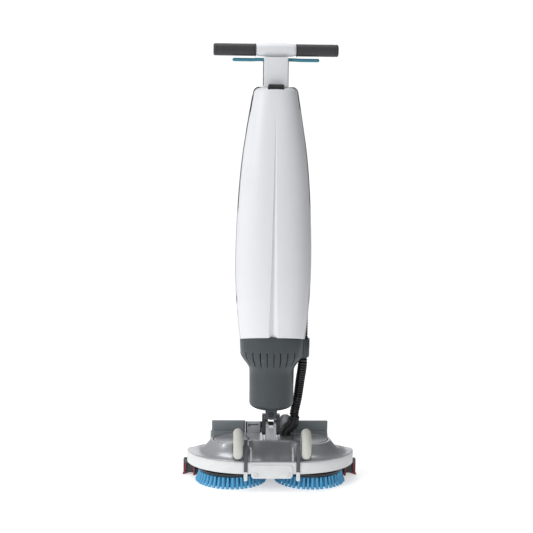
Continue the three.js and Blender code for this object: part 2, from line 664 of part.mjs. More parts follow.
function housingForm(wall) {
  const top = bodyHalf(SEAT_Z);
  const front = FRONT_RATIO * top;
  const rings = [
    [HOUSING_Z, HOUSING_FOOT_R, HOUSING_FOOT_R, HOUSING_FOOT_R, 2],
    [HOUSING_Z + 4, HOUSING_R - HOUSING_ROUND, HOUSING_R - HOUSING_ROUND, HOUSING_R - HOUSING_ROUND, 2],
    [HOUSING_Z + HOUSING_ROUND, HOUSING_R, HOUSING_R, HOUSING_R, 2],
    [HOUSING_NECK_Z, HOUSING_R, HOUSING_R, HOUSING_R, 2],
    [HOUSING_NECK_Z + 20, HOUSING_R + 6, HOUSING_R + 2, HOUSING_R + 8, 2.1],
    [HOUSING_COLLAR_Z, top - 6, front - 5, collarRear() - 4, 2.3],
    [SEAT_Z - 12, top, front, collarRear(), BODY_POWER],
    [SEAT_Z + SEAT_RISE + 4, top + 1, front, collarRear(), BODY_POWER],
  ];
  return loft(rings.map(([z, x, f, r, n], i) => bodyRing(i ? z : z + wall, x - wall, f - wall, r - wall,
      n)));
}

// Everything above the tanks' seat: level under the rear tank and spine, rising to the front under the
// front tank.
function aboveSeat(drop = 0) {
  const z = SEAT_Z - drop;
  const reach = 200;
  const slope = SEAT_RISE / (FRONT_RATIO * bodyHalf(SEAT_Z));
  const side = outline([[reach, z], [reach, BODY_TOP_Z + 200], [-reach, BODY_TOP_Z + 200],
    [-reach, z + slope * (reach + SPINE_FRONT_Y)], [SPINE_FRONT_Y, z]]);
  return plateX(side, [-reach, reach]);
}

const hoseX = () => bodyHalf(SEAT_Z + 60) - HOSE_R + 3;

// A cup that holds the suction motor, with two lugs below for the roll pin and a guide for the hose at
// its side.
function motorHousing() {
  const cup = cut(housingForm(0), aboveSeat());
  const lug = (y0, y1) => join(cylinderY(YOKE_HEAD_R, [y0, y1], 0, ROLL_Z, 20),
    box([-YOKE_HEAD_R, YOKE_HEAD_R], [y0, y1], [ROLL_Z, HOUSING_Z + 6]));
  const near = YOKE_D / 2 + RUN;
  const guide = cylinderZ(LUG_R, [HOUSING_COLLAR_Z - 5, SEAT_Z], hoseX(), HOSE_Y, 24);
  const outer = join(cup, guide, lug(near, near + 9), lug(-near - 9, -near));
  const bore = cylinderZ(HOSE_R + RUN, [HOUSING_COLLAR_Z - 20, SEAT_Z + 1], hoseX(), HOSE_Y, 24);
  const pin = cylinderY(ROLL_PIN_R + GAP, [-near - 20, near + 20], 0, ROLL_Z, 20);
  const inside = cut(housingForm(SHELL), box([hoseX() - LUG_R, 200], [HOSE_Y - LUG_R, HOSE_Y + LUG_R],
      [300, SEAT_Z + 40]));
  return cut(outer, inside, bore, pin);
}

function vacuumMotor() {
  const z = HOUSING_Z + SHELL + 6;
  return turned([[0, z], [26, z], [38, z + 8], [44, z + 12], [44, z + 84], [30, z + 92], [30, z + 104],
      [0, z + 104]], 32);
}

function solutionPump() {
  const z = HOUSING_Z + 128;
  const body = box([-48, -12], [-22, 22], [z + 2, z + 46]);
  return join(body, cylinderZ(5, [z + 40, z + 56], -40, 0, 12), cylinderZ(5, [z + 40, z + 56], -22, 0,
      12));
}

// The frame between the tanks is as wide as the body; the mast rises from it into the neck.
function spine() {
  const [y0, y1] = [SPINE_FRONT_Y + GAP, SPINE_REAR_Y - GAP];
  const heights = [SEAT_Z + GAP, ...TANK_HEIGHTS, BODY_TOP_Z - SHOULDER_R];
  const ring = (z, half) => [[half, y0], [half, y1], [-half, y1], [-half, y0]].map(([x,
      y]) => new THREE.Vector3(x, y, z));
  const frame = loft([...heights.map((z) => ring(z, bodyHalf(z) - 1)), ring(BODY_TOP_Z,
      bodyHalf(BODY_TOP_Z) - SHOULDER_R / 2)]);
  const pocket = (z, half) => [[half, y0 + SHELL], [half, y1 + 1], [-half, y1 + 1], [-half, y0 + SHELL]]
    .map(([x, y]) => new THREE.Vector3(x, y, z));
  const inside = loft([SEAT_Z + 8, ...heights.slice(1, -1), BODY_TOP_Z - 30].map((z) => pocket(z,
      bodyHalf(z) - 2 * SHELL)));
  const column = box([-COLUMN_W / 2, COLUMN_W / 2], [y0, y1], [SEAT_Z + 4, BODY_TOP_Z - 10]);
  const hoseWall = box([hoseX() - HOSE_R - 2 * SHELL, hoseX() + HOSE_R + SHELL], [y0, y1], [SEAT_Z + 4,
      HOSE_PORT_Z + SHELL])
    .intersect(frame);
  const mast = box([-NECK_W / 2 + NECK_COVER_T, NECK_W / 2 - NECK_COVER_T], [y0 + 2, y0 + NECK_D],
    [BODY_TOP_Z - 5, GRIP_Z - CENTRE_R - GAP]);
  const channel = box([hoseX() - HOSE_R - 1, 200], [HOSE_Y - HOSE_R - 3, HOSE_Y + HOSE_R + 3],
      [SEAT_Z - 1, HOSE_PORT_Z]);
  const cap = cylinderY(CAP_FLANGE_R + 1, [y0 - 1, y0 + 1], FILLER_X, FILLER_Z);
  const port = cylinderZ(HOSE_R - SHELL, [HOSE_PORT_Z - 1, HOSE_PORT_Z + SHELL + 1], hoseX(), HOSE_Y, 20);
  return cut(join(cut(frame, inside), column, hoseWall, mast), channel, cap, port);
}

// A thin cover over the front and the sides of the mast.
function neckCover() {
  const [y0, y1] = [SPINE_FRONT_Y - 4, SPINE_FRONT_Y + 30];
  const z = [BODY_TOP_Z + GAP, GRIP_Z - CENTRE_R - GAP];
  const outer = plate(roundedBox(NECK_W, y1 - y0 + 10, 5, 0, (y0 + y1) / 2 + 5), z, 4);
  const inner = box([-NECK_W / 2 + NECK_COVER_T - GAP, NECK_W / 2 - NECK_COVER_T + GAP],
    [SPINE_FRONT_Y + 2, SPINE_FRONT_Y + 80], [z[0] - 1, z[1] + 1]);
  const slots = box([-NECK_W, NECK_W], [HANDLE_Y - LEVER_D / 2 - RUN, HANDLE_Y + LEVER_D],
    [LEVER_TOP_Z - LEVER_T - 2 * RUN, GRIP_Z]);
  return cut(outer, inner, cut(slots, box([-NECK_W / 2 + 5, NECK_W / 2 - 5], [-100, 100], [0, 2000])));
}

// ---- Handle ----
const gripStart = CENTRE_W / 2 + GAP;

const handleBar = () => cylinderX(BAR_R, [-GRIP_HALF + 8, GRIP_HALF - 8], HANDLE_Y, GRIP_Z, 20);

function handleCentre() {
  const half = CENTRE_W / 2;
  const profile = [[BAR_R + GAP, -half], [CENTRE_R - 2, -half], [CENTRE_R, -half / 2], [CENTRE_R,
      half / 2],
    [CENTRE_R - 2, half], [BAR_R + GAP, half], [BAR_R + GAP, -half]];
  return turnedX(profile, 32, 0, HANDLE_Y, GRIP_Z);
}

function grip(s) {
  const end = GRIP_HALF;
  const profile = [[BAR_R + GAP, gripStart], [GRIP_R + 1, gripStart], [GRIP_R + 1, gripStart + 4],
      [GRIP_R, gripStart + 5],
    [GRIP_R, end - 4], [GRIP_R - 4, end], [0, end], [0, end - 6], [BAR_R + GAP, end - 6], [BAR_R + GAP,
        gripStart]];
  return turnedX(profile.map(([r, x]) => [r, s * x]), 24, 0, HANDLE_Y, GRIP_Z);
}

// A finger lever under each grip, on a small ear of the mast.
function lever(s) {
  const root = NECK_W / 2 - NECK_COVER_T + 2 * GAP;
  const blade = [[root, LEVER_TOP_Z], [LEVER_PIVOT_X + 40, LEVER_TOP_Z], [LEVER_PIVOT_X + 46,
      LEVER_TOP_Z - 1],
    [LEVER_END_X - 3, LEVER_TOP_Z - 1], [LEVER_END_X, LEVER_TOP_Z - 4], [LEVER_END_X - 3,
        LEVER_TOP_Z - LEVER_T],
    [root, LEVER_TOP_Z - LEVER_T]];
  return plateY(outline(blade.map(([x, z]) => [s * x, z])), [HANDLE_Y - LEVER_D / 2,
      HANDLE_Y + LEVER_D / 2]);
}

function controlPanel() {
  const face = plateY(roundedBox(NECK_W - 10, PANEL_H, 8, 0, BODY_TOP_Z + 40), [PANEL_Y,
      PANEL_Y + PANEL_T], 4);
  const wells = Object.values(BUTTON_Z).map((z) => cylinderY(BUTTON_R + GAP, [PANEL_Y + 4,
      PANEL_Y + PANEL_T + 1], 0, z, 20));
  return cut(face, ...wells);
}

// A button stands clear of its well's floor by more than its travel.
const panelButton = (z) => cylinderY(BUTTON_R, [PANEL_Y + 7, PANEL_Y + PANEL_T + BUTTON_RISE], 0, z, 20);

// ---- Tanks ----

// One half of the body, cut flat on the side that faces the spine.
function tankForm(side, wall, flatY, top, low) {
  const ratio = side < 0 ? FRONT_RATIO : REAR_RATIO;
  const ring = (z, inset) => {
    const half = bodyHalf(z) - wall - inset;
    return bodyRing(z, half, ratio * bodyHalf(z) - wall - inset, ratio * bodyHalf(z) - wall - inset,
        BODY_POWER);
  };
  const rings = [ring(low, 0), ...TANK_HEIGHTS.map((z) => ring(z, 0)), ring(top - SHOULDER_R, 0),
    ring(top - SHOULDER_R * 0.3, SHOULDER_R * 0.3), ring(top, SHOULDER_R)];
  const keep = side < 0 ? [-200, flatY] : [flatY, 200];
  return loft(rings).intersect(box([-200, 200], keep, [0, 2000]));
}

// The groove down the front widens to the bottom.
function grooveTool() {
  const front = -FRONT_RATIO * bodyHalf(600) - 20;
  const mouth = (z, half, depth) => {
    const face = -FRONT_RATIO * bodyHalf(z);
    return [[-half, front], [half, front], [0, face + depth]].map(([x, y]) => new THREE.Vector3(x, y, z));
  };
  const spread = GROOVE_W / 2 / GROOVE_D;
  const row = (z, share) => {
    const depth = GROOVE_D * share;
    const face = -FRONT_RATIO * bodyHalf(z);
    return mouth(z, spread * (face + depth - front), depth);
  };
  const rows = [[SEAT_Z - 20, 1.05], [500, 0.82], [600, 0.62], [700, 0.45], [800, 0.28], [GROOVE_TOP_Z,
      0]];
  return loft(rows.map(([z, share]) => row(z, share)));
}

function frontTank() {
  const low = SEAT_Z - 5;
  const outer = cut(tankForm(-1, 0, SPINE_FRONT_Y - GAP, BODY_TOP_Z, low), grooveTool());
  const boss = cylinderY(CAP_FLANGE_R + RUN + SHELL, [SPINE_FRONT_Y - CAP_H - SHELL, 0], FILLER_X,
      FILLER_Z);
  const inner = cut(tankForm(-1, SHELL + 1, SPINE_FRONT_Y - TANK_BACK_CLEAR - SHELL, BODY_TOP_Z - SHELL,
      low), boss,
    box([-14, 14], [-200, -FRONT_RATIO * bodyHalf(SEAT_Z) + GROOVE_D + SHELL], [0, GROOVE_TOP_Z - 150]),
    box([-LATCH_W / 2 - SHELL, LATCH_W / 2 + SHELL], [-80, 0], [BODY_TOP_Z - LATCH_H - LATCH_D,
        BODY_TOP_Z]));
  const seat = aboveSeat(-GAP);
  const floorSeat = aboveSeat(-GAP - SHELL);
  const mouth = cylinderY(FILLER_R, [SPINE_FRONT_Y - CAP_H - SHELL - 2, SPINE_FRONT_Y], FILLER_X,
      FILLER_Z);
  const pocket = cylinderY(CAP_FLANGE_R + RUN, [SPINE_FRONT_Y - CAP_H, SPINE_FRONT_Y], FILLER_X,
      FILLER_Z);
  const heel = plateX(outline([[SPINE_FRONT_Y + 1, 380], [SPINE_FRONT_Y - TANK_BACK_CLEAR, 380],
    [SPINE_FRONT_Y - TANK_BACK_CLEAR, SEAT_Z + 30], [SPINE_FRONT_Y + 1, SEAT_Z + 60]]), [-200, 200]);
  const neckRoom = box([-NECK_W / 2 - RUN, NECK_W / 2 + RUN], [SPINE_FRONT_Y - 5, SPINE_FRONT_Y + 5],
      [BODY_TOP_Z - 12, BODY_TOP_Z + 5]);
  return cut(outer.intersect(seat), inner.intersect(floorSeat), mouth, pocket, heel, neckRoom,
      latchPocket());
}

const latchFront = () => SPINE_FRONT_Y - 5 - GAP - LATCH_D;

function latchPocket() {
  const half = LATCH_W / 2 + GAP;
  return box([-half, half], [latchFront() - GAP, SPINE_FRONT_Y], [BODY_TOP_Z - LATCH_H + 2,
      BODY_TOP_Z + 5]);
}

// A flat catch in front of the neck; pushed down, it lets the front tank go.
function tankLatch() {
  const shape = roundedBox(LATCH_W, LATCH_D, 3, 0, latchFront() + LATCH_D / 2);
  return plate(shape, [BODY_TOP_Z - LATCH_H + 2 + GAP + 2.5, BODY_TOP_Z + 7], 4);
}

function fillerCap() {
  const y = SPINE_FRONT_Y - CAP_H + GAP;
  const lid = cylinderY(CAP_FLANGE_R, [y, SPINE_FRONT_Y - RUN], FILLER_X, FILLER_Z);
  return join(lid, cylinderY(FILLER_R - GAP, [y - SHELL, y + 1], FILLER_X, FILLER_Z));
}

function rearTank() {
  const low = SEAT_Z + GAP;
  const outer = tankForm(1, 0, SPINE_REAR_Y, BODY_TOP_Z - 14, low);
  const inner = tankForm(1, SHELL + 1, SPINE_REAR_Y + SHELL, BODY_TOP_Z - 14 - SHELL, low + SHELL);
  const inlet = cylinderY(FILLER_R, [SPINE_REAR_Y - 1, SPINE_REAR_Y + SHELL + 1], INLET_X, INLET_Z);
  const catchPocket = box([-LATCH_W / 2 - GAP, LATCH_W / 2 + GAP], [SPINE_REAR_Y - 1,
      SPINE_REAR_Y + LATCH_D + GAP],
    [BODY_TOP_Z - 14 - LATCH_H, BODY_TOP_Z]);
  const keepWall = box([-LATCH_W / 2 - SHELL, LATCH_W / 2 + SHELL], [SPINE_REAR_Y,
      SPINE_REAR_Y + LATCH_D + SHELL],
    [BODY_TOP_Z - 14 - LATCH_H - SHELL, BODY_TOP_Z]);
  return cut(outer, cut(inner, keepWall), inlet, catchPocket);
}

function rearLatch() {
  const shape = roundedBox(LATCH_W, LATCH_D - GAP, 3, 0, SPINE_REAR_Y + LATCH_D / 2);
  return plate(shape, [BODY_TOP_Z - 14 - LATCH_H + GAP + 2.5, BODY_TOP_Z - 8], 4);
}

// ---- Suction ----
const hoseHighRoute = () => [[75.04, 28.95, 232.3], [76.4, 27, 243], [79, 19, 272], [82, 6, 302],
  [hoseX(), HOSE_Y, 328], [hoseX(), HOSE_Y, 345], [hoseX(), HOSE_Y, 400], [hoseX(), HOSE_Y, 460],
      [hoseX(), HOSE_Y, HOSE_PORT_Z - GAP]];

const suctionElbow = () => tube(ELBOW_ROUTE, ELBOW_R, 8);
const hoseLower = () => tube(HOSE_LOW_ROUTE, HOSE_R, 4);
const hoseUpper = () => tube(hoseHighRoute(), HOSE_R, 10);

// A flat duct under the elbow that runs back between the batteries to the squeegee.

function suctionDuct() {
  const [a, b] = [ELBOW_X - DUCT_HALF, ELBOW_X + DUCT_HALF];
  const run = box([a, b], [ELBOW_Y - DUCT_HALF, REAR_END], [DUCT_Z, DUCT_TOP_Z]);
  const bend = box([-DUCT_HALF, b], [SQUEEGEE_Y - DUCT_HALF, REAR_END], [DUCT_Z, DUCT_TOP_Z]);
  const collar = cylinderZ(ELBOW_R, [DUCT_TOP_Z - 1, PLATEAU_Z - 2 * SHELL - GAP], ELBOW_X, ELBOW_Y, 20);
  const bore = cylinderZ(ELBOW_R - SHELL, [DUCT_TOP_Z - 4, PLATEAU_Z], ELBOW_X, ELBOW_Y, 20);
  const port = cylinderZ(PORT_R - SHELL, [DUCT_Z - 1, DUCT_TOP_Z - 5], 0, SQUEEGEE_Y, 20);
  return cut(join(run, bend, collar), bore, port);
}

// The bellows between the duct and the squeegee closes up as the squeegee lifts.
function bellows() {
  const z = [SQUEEGEE_TOP_Z + GAP, DECK_FLOOR_Z + CHASSIS_T + GAP + TRAY_T];
  const r = PORT_R - SHELL;
  const folds = [[r, z[0]], [r + 7, z[0]], [r + 3, z[0] + 5], [r + 7, z[0] + 9], [r + 3, z[0] + 14],
      [r + 7, z[0] + 19],
    [r + 7, z[1]], [r, z[1]], [r, z[0]]];
  return turned(folds, 20, 0, SQUEEGEE_Y);
}

// ---- Assembly ----
add("chassis", chassis(), "charcoal");
add("deck_cover", cut(deckCover(), strapNotch(1), strapNotch(-1), wheelWell(1), wheelWell(-1)), "silver");
add("bumper", bumper(), "white");
add("front_plate", frontPlate(), "white");
for (const [side, s] of Object.entries(MIRROR)) {
  add(`plate_screw_${side}`, plateScrew(s), "white");
  add(`brush_motor_${side}`, brushMotor(s), "black");
  add(`dome_cap_${side}`, domeCap(s), "silver");
  add(`wheel_bracket_${side}`, wheelBracket(s), "strap");
  add(`foot_tab_${side}`, footTab(s), "white");
  add(`axle_${side}`, axle(s), "steel");
  add(`wheel_tyre_${side}`, wheelTyre(s), "wheel");
  add(`wheel_hub_${side}`, wheelHub(s), "blue");
  add(`brush_block_${side}`, brushBlock(s), "charcoal");
  add(`bristles_${side}`, bristles(s), "blue");
  add(`battery_${side}`, battery(s), "battery");
  add(`squeegee_knob_${side}`, squeegeeKnob(s), "black");
  add(`grip_${side}`, grip(s), "grip");
  add(`lever_${side}`, lever(s), "teal");
}
add("pivot_bracket", pivotBracket(), "silver");
add("pitch_pin", pitchPin(), "steel");
add("battery_tray", batteryTray(), "silver");
add("suction_elbow", suctionElbow(), "black");
add("suction_duct", suctionDuct(), "silver");
add("squeegee_bellows", bellows(), "black");
add("squeegee_body", squeegeeBody(), "charcoal");
add("squeegee_blade_front", blade(-1), "red");
add("squeegee_blade_rear", rearBlade(), "red");
add("knuckle_yoke", knuckleYoke(), "strap");
add("roll_pin", rollPin(), "steel");
add("motor_housing", motorHousing(), "charcoal");
add("vacuum_motor", vacuumMotor(), "black");
add("solution_pump", solutionPump(), "black");
add("spine", spine(), "white");
add("neck_cover", neckCover(), "white");
add("handle_bar", handleBar(), "steel");
add("handle_centre", handleCentre(), "white");
add("control_panel", controlPanel(), "charcoal");
add("power_button", panelButton(BUTTON_Z.power), "teal");
add("water_button", panelButton(BUTTON_Z.water), "blue");
add("front_tank", frontTank(), "white");
add("filler_cap", fillerCap(), "blue");
add("tank_latch", tankLatch(), "black");
add("rear_tank", rearTank(), "white");
add("rear_latch", rearLatch(), "black");
add("hose_lower", hoseLower(), "black");
add("hose_upper", hoseUpper(), "black");

export default machine;
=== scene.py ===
"""An upright battery floor scrubber on its two disc brushes, in metres, +Z up, driving along -Y."""
import json
import logging
import math
import random
from collections.abc import Callable
from dataclasses import dataclass, field
from enum import Enum

import bmesh
import bpy
from mathutils import Matrix, Vector

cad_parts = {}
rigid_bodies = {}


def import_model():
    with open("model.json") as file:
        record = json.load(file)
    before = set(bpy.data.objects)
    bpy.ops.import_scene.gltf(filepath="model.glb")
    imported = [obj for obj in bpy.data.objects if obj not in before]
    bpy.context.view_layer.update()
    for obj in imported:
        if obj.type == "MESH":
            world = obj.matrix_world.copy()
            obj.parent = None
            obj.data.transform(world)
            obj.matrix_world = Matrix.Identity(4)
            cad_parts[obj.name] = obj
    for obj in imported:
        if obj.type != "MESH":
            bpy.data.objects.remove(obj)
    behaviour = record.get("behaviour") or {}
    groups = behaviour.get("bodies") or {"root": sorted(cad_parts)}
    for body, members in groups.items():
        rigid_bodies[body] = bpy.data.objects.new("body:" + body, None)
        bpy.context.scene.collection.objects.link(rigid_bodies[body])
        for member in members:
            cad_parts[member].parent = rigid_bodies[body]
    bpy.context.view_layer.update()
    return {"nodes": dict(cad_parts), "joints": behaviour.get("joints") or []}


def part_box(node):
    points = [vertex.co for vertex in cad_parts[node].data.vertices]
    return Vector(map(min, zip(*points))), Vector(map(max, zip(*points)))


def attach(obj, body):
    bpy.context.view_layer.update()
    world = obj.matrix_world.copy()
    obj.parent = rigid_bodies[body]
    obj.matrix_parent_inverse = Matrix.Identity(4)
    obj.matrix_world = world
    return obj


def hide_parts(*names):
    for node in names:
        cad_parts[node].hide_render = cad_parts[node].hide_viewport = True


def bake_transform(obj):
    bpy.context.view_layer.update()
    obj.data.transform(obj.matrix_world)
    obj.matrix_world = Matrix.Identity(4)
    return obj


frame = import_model()

log = logging.getLogger("scrubber")
MM = 0.001
SIDES = {"left": 1, "right": -1}


# ---------------------------------------------------------------------------------------------
# Finishes
# ---------------------------------------------------------------------------------------------
def linear(hex_colour: str) -> tuple[float, float, float, float]:
    """Turn an sRGB hex colour to linear RGBA.

    Args:
        hex_colour: six hex digits, such as "e9ebef".

    Returns:
        The colour as four linear numbers.
    """
    values = [int(hex_colour[i:i + 2], 16) / 255 for i in (0, 2, 4)]
    return (*[v / 12.92 if v <= 0.04045 else ((v + 0.055) / 1.055) ** 2.4 for v in values], 1.0)


def add_node(tree: bpy.types.NodeTree, kind: str, links: dict | None = None, **settings) -> bpy.types.Node:
    """Add a shader node with its settings, and link or set its inputs.

    Args:
        tree: the material's node tree.
        kind: the node's type name.
        links: input name or number to a socket or a plain value.
        settings: attributes of the node itself.

    Returns:
        The new node.
    """
    made = tree.nodes.new(kind)
    for name, value in settings.items():
        setattr(made, name, value)
    for key, value in (links or {}).items():
        if isinstance(value, bpy.types.NodeSocket):
            tree.links.new(value, made.inputs[key])
        else:
            made.inputs[key].default_value = value
    return made


class Grain(Enum):
    """How a surface was made, which gives its relief."""

    POLISHED = "from a polished mould"
    SPARKED = "from a spark-eroded mould"
    BRUSHED = "drawn or turned"
    STRANDS = "parallel filaments"
    CAST = "poured or foamed rubber"


@dataclass(frozen=True)
class Finish:
    """One real material and how its surface was made.

    The colour wanders between tone and shade over patches of patch_mm, and the relief repeats every grain_mm.
    """

    name: str
    slot: str
    tone: str
    shade: str
    grain: Grain = Grain.POLISHED
    grain_mm: float = 1.0
    relief_mm: float = 0.02
    patch_mm: float = 60.0
    rough: tuple[float, float] = (0.35, 0.45)
    metallic: float = 0.0
    ior: float = 1.5
    coat: float = 0.0
    worn: str | None = None
    wear: float = 0.0

    def build(self) -> bpy.types.Material:
        """Make the material once, and give the same one after that."""
        known = bpy.data.materials.get(self.name)
        if known:
            return known
        material = bpy.data.materials.new(self.name)
        material.use_nodes = True
        tree = material.node_tree
        tree.nodes.clear()
        place = add_node(tree, "ShaderNodeTexCoord").outputs["Object"]
        colour = self._colour(tree, place)
        height = self._height(tree, place)
        cloud = add_node(tree, "ShaderNodeTexNoise", {"Vector": place, "Scale": 1.3 / (self.patch_mm * MM),
                                                      "Detail": 4.0, "Roughness": 0.6})
        rough = add_node(tree, "ShaderNodeMapRange",
                         {"Value": cloud.outputs[0], "From Min": 0.3, "From Max": 0.7,
                                                      "To Min": self.rough[0], "To Max": self.rough[1]})
        bump = add_node(tree, "ShaderNodeBump",
                        {"Height": height, "Distance": self.relief_mm * MM, "Strength": 0.9})
        shader = add_node(tree, "ShaderNodeBsdfPrincipled", {
            "Base Color": colour, "Roughness": rough.outputs[0], "Normal": bump.outputs[0],
            "Metallic": self.metallic, "IOR": self.ior, "Coat Weight": self.coat, "Coat Roughness": 0.18})
        add_node(tree, "ShaderNodeOutputMaterial", {"Surface": shader.outputs[0]})
        return material

    def _colour(self, tree: bpy.types.NodeTree, place: bpy.types.NodeSocket) -> bpy.types.NodeSocket:
        """Mix tone and shade in soft patches, and the worn colour in where the surface is rubbed.

        Args:
            tree: the material's node tree.
            place: the texture coordinate.

        Returns:
            The colour socket.
        """
        patches = add_node(tree, "ShaderNodeTexNoise", {"Vector": place, "Scale": 1 / (self.patch_mm * MM),
                                                        "Detail": 5.0, "Roughness": 0.65})
        mix = add_node(tree, "ShaderNodeMix",
                       {0: patches.outputs[0], 6: linear(self.tone), 7: linear(self.shade)},
                       data_type="RGBA")
        if not self.worn:
            return mix.outputs[2]
        edges = add_node(tree, "ShaderNodeNewGeometry").outputs["Pointiness"]
        scratch = add_node(tree, "ShaderNodeTexNoise",
                           {"Vector": place, "Scale": 1 / (4 * MM), "Detail": 6.0})
        sharp = add_node(tree, "ShaderNodeMapRange", {"Value": edges, "From Min": 0.52, "From Max": 0.62,
                                                      "To Max": self.wear})
        rubbed = add_node(tree, "ShaderNodeMath", {0: sharp.outputs[0], 1: scratch.outputs[0]},
                          operation="MULTIPLY")
        worn = add_node(tree, "ShaderNodeMix",
                        {0: rubbed.outputs[0], 6: mix.outputs[2], 7: linear(self.worn)},
                        data_type="RGBA")
        return worn.outputs[2]

    def _height(self, tree: bpy.types.NodeTree, place: bpy.types.NodeSocket) -> bpy.types.NodeSocket:
        """Make the relief that this way of making gives.

        Args:
            tree: the material's node tree.
            place: the texture coordinate.

        Returns:
            The height socket.
        """
        per_metre = 1 / (self.grain_mm * MM)
        if self.grain in (Grain.BRUSHED, Grain.STRANDS):
            along = (0.03, 1.0, 1.0) if self.grain is Grain.BRUSHED else (1.0, 1.0, 0.06)
            stretched = add_node(tree, "ShaderNodeMapping", {"Vector": place, "Scale": along})
            lines = add_node(tree, "ShaderNodeTexNoise",
                             {"Vector": stretched.outputs[0], "Scale": per_metre,
                                                          "Detail": 3.0})
            return lines.outputs[0]
        if self.grain is Grain.SPARKED:
            pits = add_node(tree, "ShaderNodeTexVoronoi",
                            {"Vector": place, "Scale": per_metre, "Randomness": 1.0},
                            feature="SMOOTH_F1")
            return pits.outputs["Distance"]
        detail = 1.5 if self.grain is Grain.POLISHED else 6.0
        waves = add_node(tree, "ShaderNodeTexNoise",
                         {"Vector": place, "Scale": per_metre, "Detail": detail})
        return waves.outputs[0]


# Glossy ABS from a polished mould: a cool near-white with soft, wide reflections and a faint ripple.
SHELL_ABS = Finish("moulded_gloss_ABS", "white_shell", "eef0f4", "e8eaee", grain_mm=14, relief_mm=0.02,
                   rough=(0.34, 0.40), ior=1.52)
# The bumper's polypropylene is a little duller and greyer, with scuffs from walls and skirting.
BUMPER_PP = Finish("moulded_white_polypropylene", "white_trim", "e9ebec", "dcdedf", Grain.SPARKED, 1.6,
                   0.03, 35,
                   (0.42, 0.56), ior=1.49, worn="b9babb", wear=0.6)
# Silver-filled ABS: fine flakes make it grey with bright wide highlights where it turns to the light.
SILVER_ABS = Finish("silver_filled_ABS", "silver_cover", "acaeb2", "a2a4a8", Grain.SPARKED, 0.9, 0.012, 45,
                    (0.27, 0.36), metallic=0.55, coat=0.25, worn="c4c6c8", wear=0.5)
# Glass-filled nylon of the motor cup: dark blue-grey, satin, with an even eroded grain of about 0.8 mm.
HOUSING_NYLON = Finish("glass_filled_nylon_housing", "charcoal_housing", "3f474c", "373e43", Grain.SPARKED,
                       1.0, 0.03,
                       50, (0.36, 0.46), ior=1.53, worn="6a7277", wear=0.4)
# Powder-coated steel of the straps and the joint: dark, satin, with the fine lumps of the cured powder.
POWDER_COAT = Finish("powder_coated_steel", "strap_metal", "4c4f55", "414449", Grain.CAST, 1.2, 0.03, 25,
                     (0.36, 0.46), ior=1.5, worn="8b8d90", wear=0.7)
# Black nylon of catches, knobs and the elbow, a little glossy.
BLACK_NYLON = Finish("moulded_black_nylon", "black_plastic", "202123", "18191a", Grain.SPARKED, 1.0, 0.02,
                     30,
                     (0.34, 0.46), worn="4a4b4d", wear=0.3)
# Soft EVA hose: black with a slick skin that catches light on each rib.
HOSE_EVA = Finish("blown_EVA_hose", "hose_black", "232427", "17181a", Grain.CAST, 2.0, 0.02, 20,
                  (0.18, 0.28))
# Foamed TPE grips: dark, very matt, with a fine leathery grain and a slight shine where hands hold them.
GRIP_TPE = Finish("foamed_TPE_grip", "grip_rubber", "414043", "363537", Grain.CAST, 1.1, 0.09, 30,
                  (0.5, 0.64),
                  ior=1.48)
# Dyed nylon levers, teal, satin from a polished mould.
TEAL_NYLON = Finish("moulded_teal_nylon", "teal_lever", "3d8ba2", "327c92", grain_mm=3, relief_mm=0.01,
                    patch_mm=20,
                    rough=(0.34, 0.42), ior=1.53)
# Non-marking polyurethane tread: off-white, dull, with grey floor dirt in its pores.
TREAD_PU = Finish("cast_polyurethane_tread", "wheel_tread", "d3d4cc", "bfc1b8", Grain.CAST, 2.2, 0.08, 9,
                  (0.5, 0.66), worn="a9aaa2", wear=0.7)
# Blue polypropylene of the wheel centres and the filler cap.
BLUE_PP = Finish("moulded_blue_polypropylene", "blue_hub", "3a8dc4", "2f7fb6", Grain.SPARKED, 1.0, 0.02, 20,
                 (0.4, 0.5), ior=1.49)
# Crimped blue PBT filaments: streaks along each tuft, brighter where single ends catch light.
BRISTLE_PBT = Finish("crimped_blue_PBT_filament", "bristle_nylon", "62b8e0", "3f97cb", Grain.STRANDS, 0.9,
                     0.35, 5,
                     (0.4, 0.6), ior=1.57)
# Grey ABS/PC of the battery cases, satin grain.
BATTERY_PC = Finish("grained_battery_polycarbonate", "battery_case", "80878b", "757c80", Grain.SPARKED,
                    1.1, 0.03, 40,
                    (0.42, 0.54), worn="8e9497", wear=0.4)
# Zinc-plated turned steel of pins, axles and screws: faint circular lines.
ZINC_STEEL = Finish("turned_zinc_plated_steel", "steel", "c4c6ca", "aeb0b5", Grain.BRUSHED, 0.35, 0.01, 12,
                    (0.24, 0.38), metallic=1.0)
# Black-painted cast aluminium of the yoke: satin, with the soft lumps of the casting under the paint.
CAST_BLACK = Finish("black_painted_casting", "strap_metal", "2c2e32", "232529", Grain.CAST, 1.6, 0.05, 22,
                    (0.38, 0.5), ior=1.5, worn="6f7174", wear=0.4)
# Black-oxide steel of the pin's end: dark, with the fine lines of turning.
OXIDE_STEEL = Finish("black_oxide_steel", "steel", "3a3c41", "303236", Grain.BRUSHED, 0.35, 0.01, 12,
                     (0.3, 0.42),
                     metallic=0.8)
# Dark red gum rubber of the squeegee blades: matt, with a dusty bloom.
GUM_RUBBER = Finish("pressed_gum_rubber", "squeegee_rubber", "82323f", "702836", Grain.CAST, 1.6, 0.05, 14,
                    (0.5, 0.68), worn="94606a", wear=0.5)


def mm_pairs(pairs: list[tuple[float, float]]) -> list[tuple[float, float]]:
    """Turn pairs in millimetres into metres."""
    return [(a * MM, b * MM) for a, b in pairs]


def dress(node: str, finish: Finish) -> None:
    """Give a CAD node that stays its finish.

    Args:
        node: the node's name.
        finish: what it is made of.
    """
    target = frame["nodes"][node]
    target.data.materials.clear()
    target.data.materials.append(finish.build())


